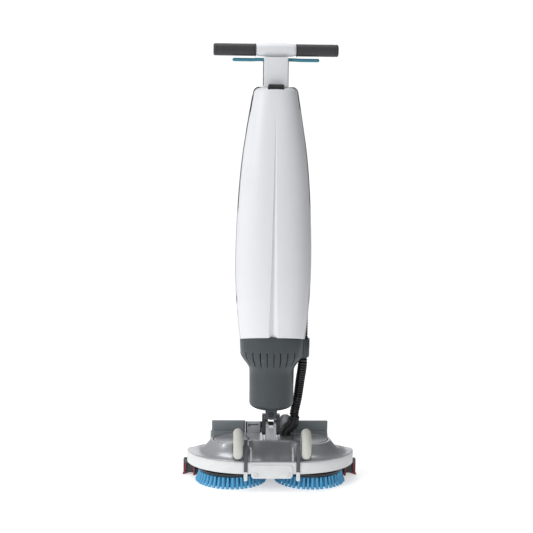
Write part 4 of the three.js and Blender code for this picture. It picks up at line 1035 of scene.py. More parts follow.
# ---------------------------------------------------------------------------------------------
# Motor housing
# ---------------------------------------------------------------------------------------------
@dataclass
class MotorHousing:
    """The dark cup under the body that holds the suction motor, with vent slots round its flare."""

    round_radius: float = 60.0 * MM
    foot_radius: float = 27.0 * MM
    collar_half: float = 87.0 * MM
    collar_front: float = 69.0 * MM
    collar_rear: float = 84.0 * MM
    slot_width: float = 3.2 * MM
    slot_pitch_deg: float = 15.0
    slot_low: float = 0.326
    slot_high: float = 0.366
    guide_radius: float = 18.0 * MM
    seat_rise: float = 20.0 * MM
    bore: float = 14.2 * MM

    def ring(self, z: float, half: float, front: float, rear: float, power: float, steps: int = 96) -> Ring:
        """Give one ring of the cup, round below and squarer above."""
        points = []
        for j in range(steps):
            t = 2 * math.pi * j / steps
            c = math.copysign(abs(math.cos(t)) ** (2 / power), math.cos(t))
            s = math.copysign(abs(math.sin(t)) ** (2 / power), math.sin(t))
            points.append(Vector((half * c, AXIS.y + (front if s < 0 else rear) * s, z)))
        return points

    def cup(self) -> bpy.types.Object:
        """Build the cup from its rounded foot over the straight part and the flare to the collar."""
        floor = 0.201
        rings = []
        for k in range(9):
            t = k / 8 * math.pi / 2
            r = self.foot_radius + (self.round_radius - self.foot_radius) * math.sin(t) ** 0.9
            rings.append(self.ring(floor + 17 * MM * (1 - math.cos(t)), r, r, r, 2))
        rings += [self.ring(z, self.round_radius + g, self.round_radius + g, self.round_radius + g, 2)
                  for z, g in ((0.225, 0), (0.26, 0.2 * MM), (0.30, 0.6 * MM))]
        for k in range(1, 13):
            t = k / 12
            ease = 0.5 - 0.5 * math.cos(math.pi * t * 0.86)
            ease /= 0.5 - 0.5 * math.cos(math.pi * 0.86)
            wide = [self.round_radius + 0.6 * MM + (full - 2 * MM - self.round_radius) * ease
                    for full in (self.collar_half, self.collar_front, self.collar_rear)]
            rings.append(self.ring(0.306 + 0.046 * t, *wide, 2 + 0.4 * t))
        for z, grow in ((0.372, -0.8), (0.388, 0.0), (0.398, 0.0)):
            rings.append(self.ring(z, *[v + grow * MM
                                        for v in (self.collar_half, self.collar_front, self.collar_rear)],
                                   2.45))
        rings.append(self.ring(0.432, self.collar_half, self.collar_front, self.collar_rear, 2.5))
        return skin("motor_housing_cup", rings, sharp_deg=40)

    def slots(self) -> list[bpy.types.Object]:
        """Make the cutters of the vent slots: eight in front and six behind, where the two nearest the hose
        are left out, a pitch apart.
        """
        tools = []
        for facing in (-90, 90):
            for k in range(8):
                turn = math.radians(facing + (k - 3.82) * self.slot_pitch_deg)
                if facing > 0 and abs(turn) < math.radians(50):
                    continue
                w, x = self.slot_width / 2, (0.062, 0.12)
                tool = slab("slot", rounded_outline(2 * w, self.slot_high - self.slot_low, w * 0.95, 0,
                                                    (self.slot_low + self.slot_high) / 2, 4), *x, "X")
                tool.data.transform(Matrix.Translation((0, AXIS.y, 0)) @ Matrix.Rotation(turn, 4, "Z"))
                tidy_mesh(tool)
                tools.append(tool)
        return tools

    def top_cut(self) -> bpy.types.Object:
        """Make the cutter that leaves the arched front edge under the front tank."""
        low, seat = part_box("front_tank")[0].z, 0.395
        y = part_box("front_tank")[1].y
        slope = self.seat_rise / self.collar_front
        reach = 0.2
        outline = [(y, seat - 0.4 * MM), (-reach, seat - 0.4 * MM + slope * (reach + y)),
                   (-reach, low + 0.2),
                   (reach, low + 0.2), (reach, seat - 0.4 * MM)]
        return slab("tool", outline, -reach, reach, "X")

    def build(self) -> None:
        """Build the cup with its slots, the hose guide at its side and the two lugs below."""
        hose = middle("hose_upper")
        guide_x, guide_y = 84.05 * MM, AXIS.y - 1 * MM
        cup = self.cup()
        guide = turned("guide", [(13 * MM, 0.343), (17 * MM, 0.3445), (self.guide_radius, 0.348),
                                 (self.guide_radius, 0.3950), (13 * MM, 0.3950)],
                       Vector((guide_x, guide_y, 0)), "Z", 48)
        carved(cup, guide, add=True)
        bore = turned("tool", [(self.bore, 0.30), (self.bore, 0.45)], Vector((guide_x, guide_y, 0)), "Z",
                      48)
        carved(cup, self.top_cut(), bore, *self.slots())
        place(bevelled(cup, 0.5 * MM, 2, 50), "column", HOUSING_NYLON, "motor_housing")
        log.info("motor housing: cup, guide at x %.3f and vent slots", hose.x)
        self.lugs()
        self.seam()

    def lugs(self) -> None:
        """Build the two lugs that the roll pin goes through."""
        low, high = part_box("knuckle_yoke")
        pin = joint_at("handle_steer")
        for name, near, far in (("front", low.y - 10 * MM, low.y - 1 * MM),
                                ("rear", high.y + 1 * MM, high.y + 10 * MM)):
            outline = [(15 * MM * math.cos(math.radians(a)), pin.z + 15 * MM * math.sin(math.radians(a)))
                       for a in range(180, 361, 12)]
            outline += [(17 * MM, pin.z + 24 * MM), (-17 * MM, pin.z + 24 * MM)]
            lug = slab(f"housing_lug_{name}", outline, near, far, "Y")
            hole = turned("tool", [(7.3 * MM, near - MM), (7.3 * MM, far + MM)], Vector((0, 0, pin.z)),
                          "Y", 32)
            carved(lug, hole)
            place(bevelled(lug, 1.0 * MM, 2), "column", HOUSING_NYLON)

    def seam(self) -> None:
        """Lay a black band in the seam between the cup and the tanks, just inside their outside: painted
        shadow in the gap.
        """
        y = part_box("front_tank")[1].y
        slope = self.seat_rise / self.collar_front
        rings = []
        for inset, drop in ((1.6, -1.6), (0.9, -1.0), (0.9, 0.6), (1.6, 1.2), (4, 1.2), (4, -1.6)):
            ring = self.ring(0, *[v - inset * MM
                                  for v in (self.collar_half, self.collar_front, self.collar_rear)], 2.5)
            rings.append([Vector((p.x, p.y, 0.3952 + slope * max(0.0, y - p.y) + drop * MM)) for p in ring])
        # Black ring: painted shadow along the seam under the tanks.
        place(skin("tank_seat_shadow_band", rings, loop=True), "column", BLACK_NYLON)


# ---------------------------------------------------------------------------------------------
# Handle
# ---------------------------------------------------------------------------------------------
@dataclass
class Handle:
    """The T-handle: two grips, the barrel between them, two finger levers, the neck and its panel."""

    bar_radius: float = 11.0 * MM
    groove: float = 0.6 * MM
    lever_thick: float = 9.0 * MM
    lever_deep: float = 15.0 * MM

    def grip(self, side: str, s: int) -> None:
        """Build one grip with a collar, a ring groove near each end and a domed end."""
        low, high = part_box(f"grip_{side}")
        start, end = sorted((low.x, high.x), key=abs)
        long, r = abs(end - start), 16 * MM
        g = self.groove
        profile = [(self.bar_radius + 0.5 * MM, 0), (r + 0.4 * MM, 0), (r + MM, 0.8 * MM),
                   (r + MM, 2.6 * MM),
                   (r - g, 3.4 * MM), (r - g, 4.4 * MM), (r, 5.2 * MM), (r - 0.1 * MM, long * 0.5),
                   (r, long - 9.2 * MM), (r - g, long - 8.4 * MM), (r - g, long - 7.6 * MM),
                   (r, long - 6.8 * MM),
                   (r, long - 4.5 * MM), (r - 0.9 * MM, long - 1.8 * MM), (r - 2.8 * MM, long - 0.3 * MM),
                   (r - 5 * MM, long), (2 * MM, long)]
        piece = turned(f"grip_sleeve_{side}", [(a, s * b) for a, b in profile],
                       Vector((start, middle("handle_bar").y, middle("handle_bar").z)), "X", 56)
        place(piece, "column", GRIP_TPE, f"grip_{side}")

    def centre(self) -> None:
        """Build the white barrel that bulges between the grips and flows down to the neck."""
        low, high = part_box("handle_centre")
        half, r = (high.x - low.x) / 2, (high.z - low.z) / 2
        profile = [(11.5 * MM, -half)]
        for k in range(25):
            t = -1 + k / 12
            edge = 1.2 * MM * max(0, abs(t) - 0.985) / 0.015
            profile.append((r - 2.8 * MM * abs(t) ** 2.2 - edge, half * t))
        profile.append((11.5 * MM, half))
        place(turned("handle_barrel", profile, middle("handle_centre"), "X", 64), "column", SHELL_ABS,
              "handle_centre")

    def lever(self, side: str, s: int) -> None:
        """Build one finger lever: a soft bar with a small step down past its root and a round end."""
        low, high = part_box(f"lever_{side}")
        start, end = sorted((low.x, high.x), key=abs)
        mid_y, top = (low.y + high.y) / 2, high.z
        drop = [(0.0, 0.0), (0.10, 0.0), (0.24, 0.3), (0.32, 1.0), (0.40, 1.3), (0.96, 1.3), (0.99, 1.4),
                (1.0, 1.6)]
        rings = []
        for share, fall in drop:
            tuck = 1 - 0.45 * max(0.0, share - 0.96) / 0.04
            x = start + (end - start) * share
            h, d = self.lever_thick / 2 * tuck, self.lever_deep / 2 * tuck
            z = top - self.lever_thick / 2 - fall * 0.7 * MM
            outline = rounded_outline(2 * d, 2 * h, 0.92 * h, mid_y, z, 5)
            rings.append([Vector((x, a, b)) for a, b in outline])
        piece = skin(f"finger_lever_{side}", rings, sharp_deg=50)
        boss = turned("boss", [(3.4 * MM, -6 * MM), (3.4 * MM, 6 * MM)],
                      Vector((start + s * 1.2 * MM, mid_y, top - self.lever_thick / 2)), "Y", 24)
        place(joined(piece, boss), f"lever_{side}", TEAL_NYLON, f"lever_{side}")

    def neck(self) -> None:
        """Build the neck's white cover with a lip at its foot, and a dark strip on each side."""
        low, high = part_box("neck_cover")
        w = (high.x - low.x) / 2
        front = []
        for k in range(17):
            t = -1 + k / 8
            front.append((t * (w - 2.4 * MM), low.y + 1.5 * MM * abs(t) ** 2.4 + 0.2 * MM))
        back = [(w - 2.4 * MM, low.y + 9 * MM), (-w + 2.4 * MM, low.y + 9 * MM)]
        cover = slab("neck_front_cover", front + back, low.z, high.z)
        place(bevelled(cover, 0.9 * MM, 3, 40), "column", SHELL_ABS, "neck_cover")
        lip = slab("neck_lip", rounded_outline(2 * w - 1 * MM, 13 * MM, 4 * MM, 0, low.y + 6.6 * MM),
                   low.z + 0.1 * MM,
                   low.z + 3.2 * MM)
        place(bevelled(lip, 0.9 * MM, 2), "column", SHELL_ABS)
        for side, s in SIDES.items():
            x = sorted((s * (w - 2.6 * MM), s * (w - 0.9 * MM)))
            strip = block(f"neck_side_strip_{side}", x, (low.y + 6 * MM, high.y),
                          (low.z + 0.5 * MM, high.z - 9 * MM))
            place(bevelled(strip, 0.4 * MM, 2), "column", POWDER_COAT)
            x = sorted((s * (w - 7 * MM), s * (w - 2.7 * MM)))
            wall = block(f"neck_side_wall_{side}", x, (low.y + 9.2 * MM, high.y), (low.z, high.z - 9 * MM))
            place(bevelled(wall, 0.6 * MM, 2), "column", SHELL_ABS)

    def panel(self) -> None:
        """Build the panel behind the neck with a raised rim, and its two dished buttons with tick rings."""
        low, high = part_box("control_panel")
        outline = rounded_outline(high.x - low.x, high.z - low.z, 8 * MM, 0, (low.z + high.z) / 2)
        plate = slab("control_panel_face", outline, low.y, high.y, "Y")
        field_cut = slab("tool", rounded_outline(high.x - low.x - 5 * MM, high.z - low.z - 5 * MM, 6 * MM,
                                                 0,
                                                 (low.z + high.z) / 2), high.y - 0.8 * MM, high.y + MM, "Y")
        wells = []
        for node in ("power_button", "water_button"):
            c = middle(node)
            wells.append(turned("tool", [(9.4 * MM, high.y - 8 * MM), (9.4 * MM, high.y + MM)],
                                Vector((c.x, 0, c.z)), "Y", 40))
        carved(plate, field_cut, *wells)
        place(bevelled(plate, 0.7 * MM, 2, 50), "column", HOUSING_NYLON, "control_panel")
        for node, finish in (("power_button", TEAL_NYLON), ("water_button", BLUE_PP)):
            a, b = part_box(node)
            c, r = middle(node), (b.x - a.x) / 2
            profile = [(r - 1.2 * MM, 0), (r, 0.6 * MM), (r, b.y - a.y - 1.4 * MM),
                       (r - 0.5 * MM, b.y - a.y - 0.4 * MM),
                       (r - 1.6 * MM, b.y - a.y), (r - 3.4 * MM, b.y - a.y - 0.7 * MM),
                       (1 * MM, b.y - a.y - 1.1 * MM)]
            button = turned(f"{node}_cap", profile, Vector((c.x, a.y, c.z)), "Y", 40)
            place(button, node, finish, node)
            for k in range(12):
                t = 2 * math.pi * k / 12
                at = Vector((c.x + 12 * MM * math.cos(t), high.y - 0.9 * MM, c.z + 12 * MM * math.sin(t)))
                dot = turned(f"{node}_dot_{k}",
                             mm_pairs([(0.7, 0), (0.7, 0.3), (0.4, 0.5)]), at, "Y", 10)
                place(dot, "column", SHELL_ABS)

    def build(self) -> None:
        """Build the whole handle."""
        for side, s in SIDES.items():
            self.grip(side, s)
            self.lever(side, s)
        self.centre()
        self.neck()
        self.panel()
        dress("handle_bar", ZINC_STEEL)
        log.info("handle: two grips, two levers, barrel, neck and panel")


# ---------------------------------------------------------------------------------------------
# Deck
# ---------------------------------------------------------------------------------------------
@dataclass
class Deck:
    """The low deck: silver cover with two domes, white bumper with its plate, straps and wheels."""

    side_x: float = 229.0 * MM
    corner_x: float = 62.0 * MM
    corner_y: float = 25.0 * MM
    front_y: float = -109.0 * MM
    brush_x: float = 108.0 * MM
    plateau: float = 114.0 * MM
    edge_z: float = 78.3 * MM
    plateau_front: float = -20.0 * MM
    bumper_thick: float = 14.0 * MM
    cap_radius: float = 47.0 * MM
    cap_gap: float = 3.0 * MM
    cell: float = 2.6 * MM

    def front_edge(self, x: float, inset: float) -> float:
        """Give the outline's front edge at a place across, drawn in by a distance."""
        rx, ry = self.side_x - self.corner_x - inset, self.corner_y - self.front_y - inset
        beyond = min(1.0, max(0.0, abs(x) - self.corner_x) / rx)
        return self.corner_y - ry * math.sqrt(1 - beyond ** 2)

    def rear_edge(self, x: float) -> float:
        """Give the cover's rear edge, which comes forward behind each wing tip."""
        wall, start, end = 59.7 * MM, 186 * MM, self.side_x - 3 * MM
        beyond = max(0.0, abs(x) - start) / (end - start)
        return wall + (self.corner_y + 6 * MM - wall) * beyond

    def flare(self, away: float) -> float:
        """Give a dome's height at a distance from its middle: flat, a soft edge, then a hollow flare."""
        rim, foot = 55 * MM, 112 * MM
        if away <= rim:
            return self.plateau
        edge = 2.2 * MM
        if away <= rim + edge:
            return self.plateau - edge * (1 - math.sqrt(max(0.0, 1 - ((away - rim) / edge) ** 2)))
        t = min(1.0, (away - rim - edge) / (foot - rim - edge))
        return self.edge_z + (self.plateau - edge - self.edge_z) * ((1 - t) ** 2.7 * 0.93 + 0.07 * (1 - t))

    def ramp(self, y: float) -> float:
        """Give the middle's height from the plateau down a hollow channel to the front edge."""
        start, end, edge = self.plateau_front, self.front_y + 3 * MM, 3 * MM
        if y >= start + edge:
            return self.plateau
        if y >= start:
            return self.plateau - edge * (1 - math.sqrt(max(0.0, 1 - ((start + edge - y) / edge) ** 2)))
        t = min(1.0, (start - y) / (start - end))
        return self.edge_z + 2 * MM + (self.plateau - edge - self.edge_z - 2 * MM) * ((1 - t) ** 2.3 * 0.9
                                                                                      + 0.1 * (1 - t))

    def height(self, x: float, y: float) -> float:
        """Give the cover's height at a place, the higher of the domes and the middle, softly joined."""
        dome = self.flare(math.hypot(abs(x) - self.brush_x, y))
        past = max(0.0, abs(x) - self.brush_x + 12 * MM) / (40 * MM)
        mid = self.edge_z + (self.ramp(y) - self.edge_z) * max(0.0, 1 - past ** 2)
        soft = 2.4 * MM
        gap = abs(dome - mid)
        top = max(dome, mid) + (soft * (1 - gap / (4 * soft)) ** 2 if gap < 4 * soft else 0) * 0.5
        return min(top, self.plateau)

    def cover(self) -> None:
        """Build the cover as one moulding over a fine grid, then cut what passes through it."""
        across = round(2 * (self.side_x - 3 * MM) / self.cell)
        deep = 66
        rings = []
        for i in range(across + 1):
            x = -(self.side_x - 3 * MM) + 2 * (self.side_x - 3 * MM) * i / across
            near, far = self.front_edge(x, 3 * MM), self.rear_edge(x)
            ring = []
            for j in range(deep + 1):
                y = near + (far - near) * (j / deep)
                fall = 1.2 * MM * max(0.0, 1 - (y - near) / (2 * MM)) ** 2
                ring.append(Vector((x, AXIS.y + y, max(self.height(x, y) - fall, self.edge_z + 1.2 * MM))))
            ring += [Vector((x, AXIS.y + far, self.edge_z)), Vector((x, AXIS.y + near, self.edge_z))]
            rings.append(ring)
        shell = skin("deck_cover_moulding", rings, sharp_deg=38)
        tools = []
        for s in SIDES.values():
            centre = Vector((s * self.brush_x, AXIS.y, 0))
            r = self.cap_radius
            tools.append(turned("tool", [(r - 8 * MM, self.plateau - 6 * MM),
                                         (r + self.cap_gap, self.plateau - 6 * MM),
                                         (r + self.cap_gap, self.plateau + MM),
                                         (r - 8 * MM, self.plateau + MM),
                                         (r - 8 * MM, self.plateau - 6 * MM)], centre, "Z", 96))
            tools.append(turned("tool", [(r + 0.4 * MM, self.plateau - 5 * MM),
                                         (r + 0.4 * MM, self.plateau + MM)],
                                centre, "Z", 96))
            low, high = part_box(f"wheel_bracket_{'left' if s > 0 else 'right'}")
            tools.append(block("tool", (low.x - 0.4 * MM, high.x + 0.4 * MM),
                               (low.y - 5 * MM, high.y + 0.4 * MM),
                               (0.06, 0.16)))
            low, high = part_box(f"wheel_tyre_{'left' if s > 0 else 'right'}")
            c = (low + high) / 2
            tools.append(turned("tool", [(0.0435, low.x - 3 * MM), (0.0435, high.x + 3 * MM)],
                                Vector((0, c.y, c.z)),
                                "X", 72))
        low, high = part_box("pivot_bracket")
        tools.append(block("tool", (low.x - 0.4 * MM, high.x + 0.4 * MM),
                           (low.y - 0.4 * MM, high.y + 0.4 * MM),
                           (0.079, 0.13)))
        carved(shell, *tools)
        place(shell, "deck", SILVER_ABS, "deck_cover")

    def panel_relief(self) -> None:
        """Lay the raised frame round the joint's foot on the plateau, as low moulded ribs."""
        top = self.plateau
        for s in (-1, 1):
            x = sorted((s * 19 * MM, s * 22 * MM))
            rib = block(f"plateau_rib_{'left' if s > 0 else 'right'}", x,
                        (AXIS.y - 18 * MM, AXIS.y + 28 * MM),
                        (top - 0.5 * MM, top + 3.2 * MM))
            place(bevelled(rib, 1.0 * MM, 2), "deck", SILVER_ABS)
        step = block("plateau_step", (-24 * MM, 24 * MM), (AXIS.y - 19.4 * MM, AXIS.y - 18.6 * MM),
                     (top - 0.5 * MM, top + 1.2 * MM))
        place(bevelled(step, 0.3 * MM, 2), "deck", SILVER_ABS)

    def dome_cap(self, side: str) -> None:
        """Build one dome cap: a flat disc with a fine rim step and a shallow ring groove."""
        low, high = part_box(f"dome_cap_{side}")
        c, r, h = middle(f"dome_cap_{side}"), (high.x - low.x) / 2, high.z - low.z
        profile = [(r - 2 * MM, 0), (r, 0.6 * MM), (r, h - 1.6 * MM), (r - 0.5 * MM, h - 0.5 * MM),
                   (r - 1.6 * MM, h),
                   (r - 4 * MM, h), (r - 4.6 * MM, h - 0.5 * MM), (r - 5.4 * MM, h - 0.5 * MM),
                   (r - 6 * MM, h),
                   (1 * MM, h + 0.0 * MM)]
        place(turned(f"dome_cap_disc_{side}", profile, Vector((c.x, c.y, low.z)), "Z", 96, 30), "deck",
              SILVER_ABS,
              f"dome_cap_{side}")

    def bumper(self) -> None:
        """Build the bumper as one band with a round-edged section, notched for the straps."""
        low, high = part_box("bumper")
        e, t = 2.4 * MM, self.bumper_thick
        section = [(0.6 * MM, low.z + e), (0.2 * e, low.z + 0.4 * e), (e, low.z), (t - e, low.z),
                   (t, low.z + e),
                   (t, high.z - e), (t - 0.4 * e, high.z), (e, high.z), (0.3 * e, high.z - 0.3 * e),
                   (0, high.z - e),
                   (0.0, (low.z + high.z) / 2)]
        rings = []
        corner = [math.pi / 2 * k / 30 for k in range(31)]
        stations = [(-1, a) for a in corner] + [(0, x / 6) for x in range(1, 6)] + [(1, a)
                for a in reversed(corner)]
        for s, a in stations:
            ring = []
            for inset, z in section:
                rx, ry = self.side_x - self.corner_x - inset, self.corner_y - self.front_y - inset
                if s:
                    x, y = s * (self.corner_x + rx * math.cos(a)), self.corner_y - ry * math.sin(a)
                else:
                    x, y = -self.corner_x + 2 * self.corner_x * a, self.corner_y - ry
                ring.append(Vector((x, AXIS.y + y, z)))
            rings.append(ring)
        band = skin("bumper_band", rings, sharp_deg=40)
        tools = []
        for side in SIDES:
            a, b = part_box(f"wheel_bracket_{side}")
            tools.append(block("tool", (a.x - 0.4 * MM, b.x + 0.4 * MM),
                               (a.y - 5 * MM, AXIS.y + self.front_y + 7.4 * MM),
                               (low.z - MM, high.z + MM)))
        carved(band, *tools)
        place(band, "deck", BUMPER_PP, "bumper")

    def plate(self) -> None:
        """Build the front plate and its two round-headed screws."""
        low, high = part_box("front_plate")
        outline = rounded_outline(high.x - low.x, high.z - low.z, 9 * MM, 0, (low.z + high.z) / 2)
        piece = slab("front_plate_panel", outline, low.y, high.y, "Y")
        place(bevelled(piece, 1.0 * MM, 3), "deck", BUMPER_PP, "front_plate")
        for side in SIDES:
            a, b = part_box(f"plate_screw_{side}")
            c, r, h = middle(f"plate_screw_{side}"), (b.x - a.x) / 2, b.y - a.y
            profile = [(r - 0.2 * MM, h), (r, h - 0.4 * MM), (r - 0.3 * MM, h * 0.45),
                       (r - 1.2 * MM, 0.25 * MM),
                       (r - 2.4 * MM, 0), (2.7 * MM, 0), (2.4 * MM, 0.3 * MM), (2.4 * MM, h * 0.8)]
            screw = turned(f"plate_screw_head_{side}", profile, Vector((c.x, a.y, c.z)), "Y", 40)
            place(screw, "deck", BUMPER_PP, f"plate_screw_{side}")

    def strap(self, side: str, s: int) -> None:
        """Build one wheel strap with a bright zinc nub on its top as a painted highlight, the rib beside it
        and the tab below.
        """
        low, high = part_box(f"wheel_bracket_{side}")
        wheel = middle(f"wheel_tyre_{side}")
        outline = [(low.y, low.z), (low.y + 7 * MM, low.z), (low.y + 7 * MM, 0.0905),
                   (wheel.y + 11 * MM, wheel.z - 8 * MM),
                   (wheel.y + 11.6 * MM, high.z - 5 * MM), (wheel.y + 7 * MM, high.z),
                   (wheel.y - 4 * MM, high.z),
                   (wheel.y - 8 * MM, high.z - 3 * MM), (low.y, wheel.z - 14 * MM)]
        bar = slab(f"wheel_strap_{side}", outline, low.x, high.x, "X")
        place(bevelled(bar, 1.3 * MM, 3), "deck", POWDER_COAT, f"wheel_bracket_{side}")
        x = sorted((s * (abs(low.x) if s > 0 else abs(high.x)) - s * 12.5 * MM,
                    s * (abs(low.x) if s > 0 else abs(high.x)) - s * 6 * MM))
        rib = slab(f"strap_rib_{side}", [(low.y + 6 * MM, 0.0805), (low.y + 22 * MM, 0.0805),
                                         (low.y + 22 * MM, 0.112),
                                         (low.y + 17 * MM, 0.117), (low.y + 10 * MM, 0.112)], *x, "X")
        place(bevelled(rib, 1.2 * MM, 3), "deck", SILVER_ABS)
        # Bright zinc nub just proud of the strap's top: a painted highlight where the rounded top catches the
        # light.
        tip = turned(f"strap_top_glint_{side}",
                     mm_pairs([(3.4, -4.4), (4.2, -3.6), (4.2, 3.6), (3.4, 4.4)]),
                     Vector(((low.x + high.x) / 2, wheel.y + 1.6 * MM, high.z - 3.6 * MM)), "X", 28)
        place(tip, "deck", ZINC_STEEL)
        a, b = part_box(f"foot_tab_{side}")
        tab = slab(f"foot_tab_moulding_{side}",
                   rounded_outline(b.x - a.x, b.z - a.z, 3 * MM, (a.x + b.x) / 2, (a.z + b.z) / 2),
                   a.y, b.y, "Y")
        place(bevelled(tab, 0.9 * MM, 3), "deck", BUMPER_PP, f"foot_tab_{side}")

    def wheel(self, side: str) -> None:
        """Build one wheel: a round-shouldered tread on a blue centre with five spokes, and its axle."""
        low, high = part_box(f"wheel_tyre_{side}")
        c, w, r = (low + high) / 2, (high.x - low.x) / 2, (high.z - low.z) / 2
        crown = [(r - w * (1 - math.sin(t)) * 0.94, -w * math.cos(t))
                 for t in [math.pi * k / 20 for k in range(21)]]
        profile = [(20.2 * MM, -w + 1.2 * MM), (22 * MM, -w), *crown[1:-1], (22 * MM, w),
                   (20.2 * MM, w - 1.2 * MM),
                   (20.2 * MM, -w + 1.2 * MM)]
        place(turned(f"wheel_tread_{side}", profile, c, "X", 72), f"wheel_{side}", TREAD_PU,
              f"wheel_tyre_{side}")
        rim = turned(f"wheel_centre_{side}",
                     [(15.5 * MM, -w + 1.6 * MM), (19.9 * MM, -w + MM), (19.9 * MM, w - MM),
                      (15.5 * MM, w - 1.6 * MM),
                             (15.5 * MM, -w + 1.6 * MM)], c, "X", 56)
        hub = turned("hub", [(5.5 * MM, -w + MM), (8.4 * MM, -w + MM), (8.8 * MM, -w + 2 * MM),
                             (8.8 * MM, w - 2 * MM),
                             (8.4 * MM, w - MM), (5.5 * MM, w - MM), (5.5 * MM, -w + MM)], c, "X", 40)
        web = turned("web", mm_pairs([(8, -2), (16.5, -2), (16.5, 2), (8, 2), (8, -2)]), c, "X", 40)
        spokes = []
        for k in range(5):
            spoke = slab("spoke", mm_pairs([(-1.6, 8), (1.6, 8), (1.3, 16.5), (-1.3, 16.5)]),
                         -w + 3 * MM, w - 3 * MM, "X")
            spoke.data.transform(Matrix.Translation(c) @ Matrix.Rotation(2 * math.pi * k / 5, 4, "X"))
            spokes.append(spoke)
        place(joined(rim, hub, web, *spokes), f"wheel_{side}", BLUE_PP, f"wheel_hub_{side}")
        dress(f"axle_{side}", ZINC_STEEL)

    def build(self) -> None:
        """Build the whole deck."""
        self.cover()
        self.panel_relief()
        self.bumper()
        self.plate()
        for side, s in SIDES.items():
            self.dome_cap(side)
            self.strap(side, s)
            self.wheel(side)
            dress(f"brush_motor_{side}", BLACK_NYLON)
        dress("chassis", HOUSING_NYLON)
        log.info("deck: cover, caps, bumper, plate, straps and wheels")


# ---------------------------------------------------------------------------------------------
# Joint between deck and column
# ---------------------------------------------------------------------------------------------
@dataclass
class ColumnJoint:
    """The bracket on the deck, the yoke that leans on it, and the two pins."""

    bolt: float = 6.5 * MM

    def bracket(self) -> None:
        """Build the silver bracket with its window and its rounded head."""
        low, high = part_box("pivot_bracket")
        c = middle("pivot_bracket")
        half, r, pin = (high.x - low.x) / 2, (high.y - low.y) / 2, joint_at("handle_lean")
        outline = [(low.y, low.z), (high.y, low.z), (high.y, high.z - r)]
        outline += [(c.y + r * math.cos(t), high.z - r + r * math.sin(t))
                    for t in [math.pi * k / 16 for k in range(1, 16)]]
        outline += [(low.y, high.z - r)]
        body = slab("joint_bracket", outline, -half, half, "X")
        window = slab("tool", rounded_outline(15 * MM, 40 * MM, 2 * MM, 0, pin.z + 29 * MM), low.y - MM,
                      high.y + MM, "Y")
        bore = turned("tool", [(6.3 * MM, -half - MM), (6.3 * MM, half + MM)], pin, "X", 40)
        carved(body, window, bore)
        place(bevelled(body, 1.1 * MM, 3), "deck", SILVER_ABS, "pivot_bracket")
        dress("pitch_pin", ZINC_STEEL)

    def yoke(self) -> None:
        """Build the dark yoke: two arms with round feet, a bridge and the barrel for the roll pin."""
        low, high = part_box("knuckle_yoke")
        pin, roll = joint_at("handle_lean"), joint_at("handle_steer")
        d = (high.y - low.y) / 2
        parts = []
        for s in (-1, 1):
            x = sorted((s * (high.x - 9 * MM), s * high.x))
            outline = [(pin.y + d * math.cos(t), pin.z + d * math.sin(t))
                       for t in [math.pi + math.pi * k / 16 for k in range(17)]]
            outline += [(pin.y + d * 0.86, roll.z - 6 * MM), (pin.y - d * 0.86, roll.z - 6 * MM)]
            arm = slab("knuckle_yoke_casting", outline, *x, "X")
            carved(arm, turned("tool", [(6.3 * MM, x[0] - MM), (6.3 * MM, x[1] + MM)], pin, "X", 40))
            parts.append(bevelled(arm, 1.4 * MM, 3))
        bridge = block("bridge", (low.x, high.x), (low.y + 0.6 * MM, high.y - 0.6 * MM),
                       (0.1722, roll.z - 5 * MM))
        barrel = turned("barrel", [(7.3 * MM, low.y), (12 * MM, low.y), (12 * MM, high.y),
                                   (7.3 * MM, high.y), (7.3 * MM, low.y)],
                        Vector((0, 0, roll.z)), "Y", 44)
        bore = turned("tool", [(7.2 * MM, low.y - MM), (7.2 * MM, high.y + MM)], Vector((0, 0, roll.z)),
                      "Y", 40)
        carved(bridge, bore)
        place(joined(*parts, bevelled(bridge, 1.6 * MM, 3), barrel), "knuckle", CAST_BLACK, "knuckle_yoke")
        dress("roll_pin", OXIDE_STEEL)
        for s in (-1, 1):
            self.bolt_head(f"pitch_bolt_{'left' if s > 0 else 'right'}",
                           Vector((s * (high.x + 0.2 * MM), pin.y, pin.z)), "X", s)
        self.bolt_head("yoke_clamp_bolt", Vector((-13 * MM, low.y - 0.1 * MM + 0.7 * MM, 0.1775)), "Y", -1,
                       "knuckle")

    def bolt_head(self, name: str, at: Vector, axis: str, s: int, body: str = "deck") -> None:
        """Build a round bolt head with a round socket.

        Args:
            name: its name.
            at: the middle of its seat.
            axis: the bolt's line.
            s: which way the head faces.
            body: the body it rides on.
        """
        r = self.bolt
        profile = [(r, 0), (r, s * 2.0 * MM), (r - 0.6 * MM, s * 2.6 * MM), (3.0 * MM, s * 2.6 * MM),
                   (2.8 * MM, s * 1.0 * MM)]
        place(turned(name, profile, at, axis, 30), body, POWDER_COAT)

    def build(self) -> None:
        """Build the bracket and the yoke."""
        self.bracket()
        self.yoke()
        log.info("joint: bracket, yoke, pins and bolts")


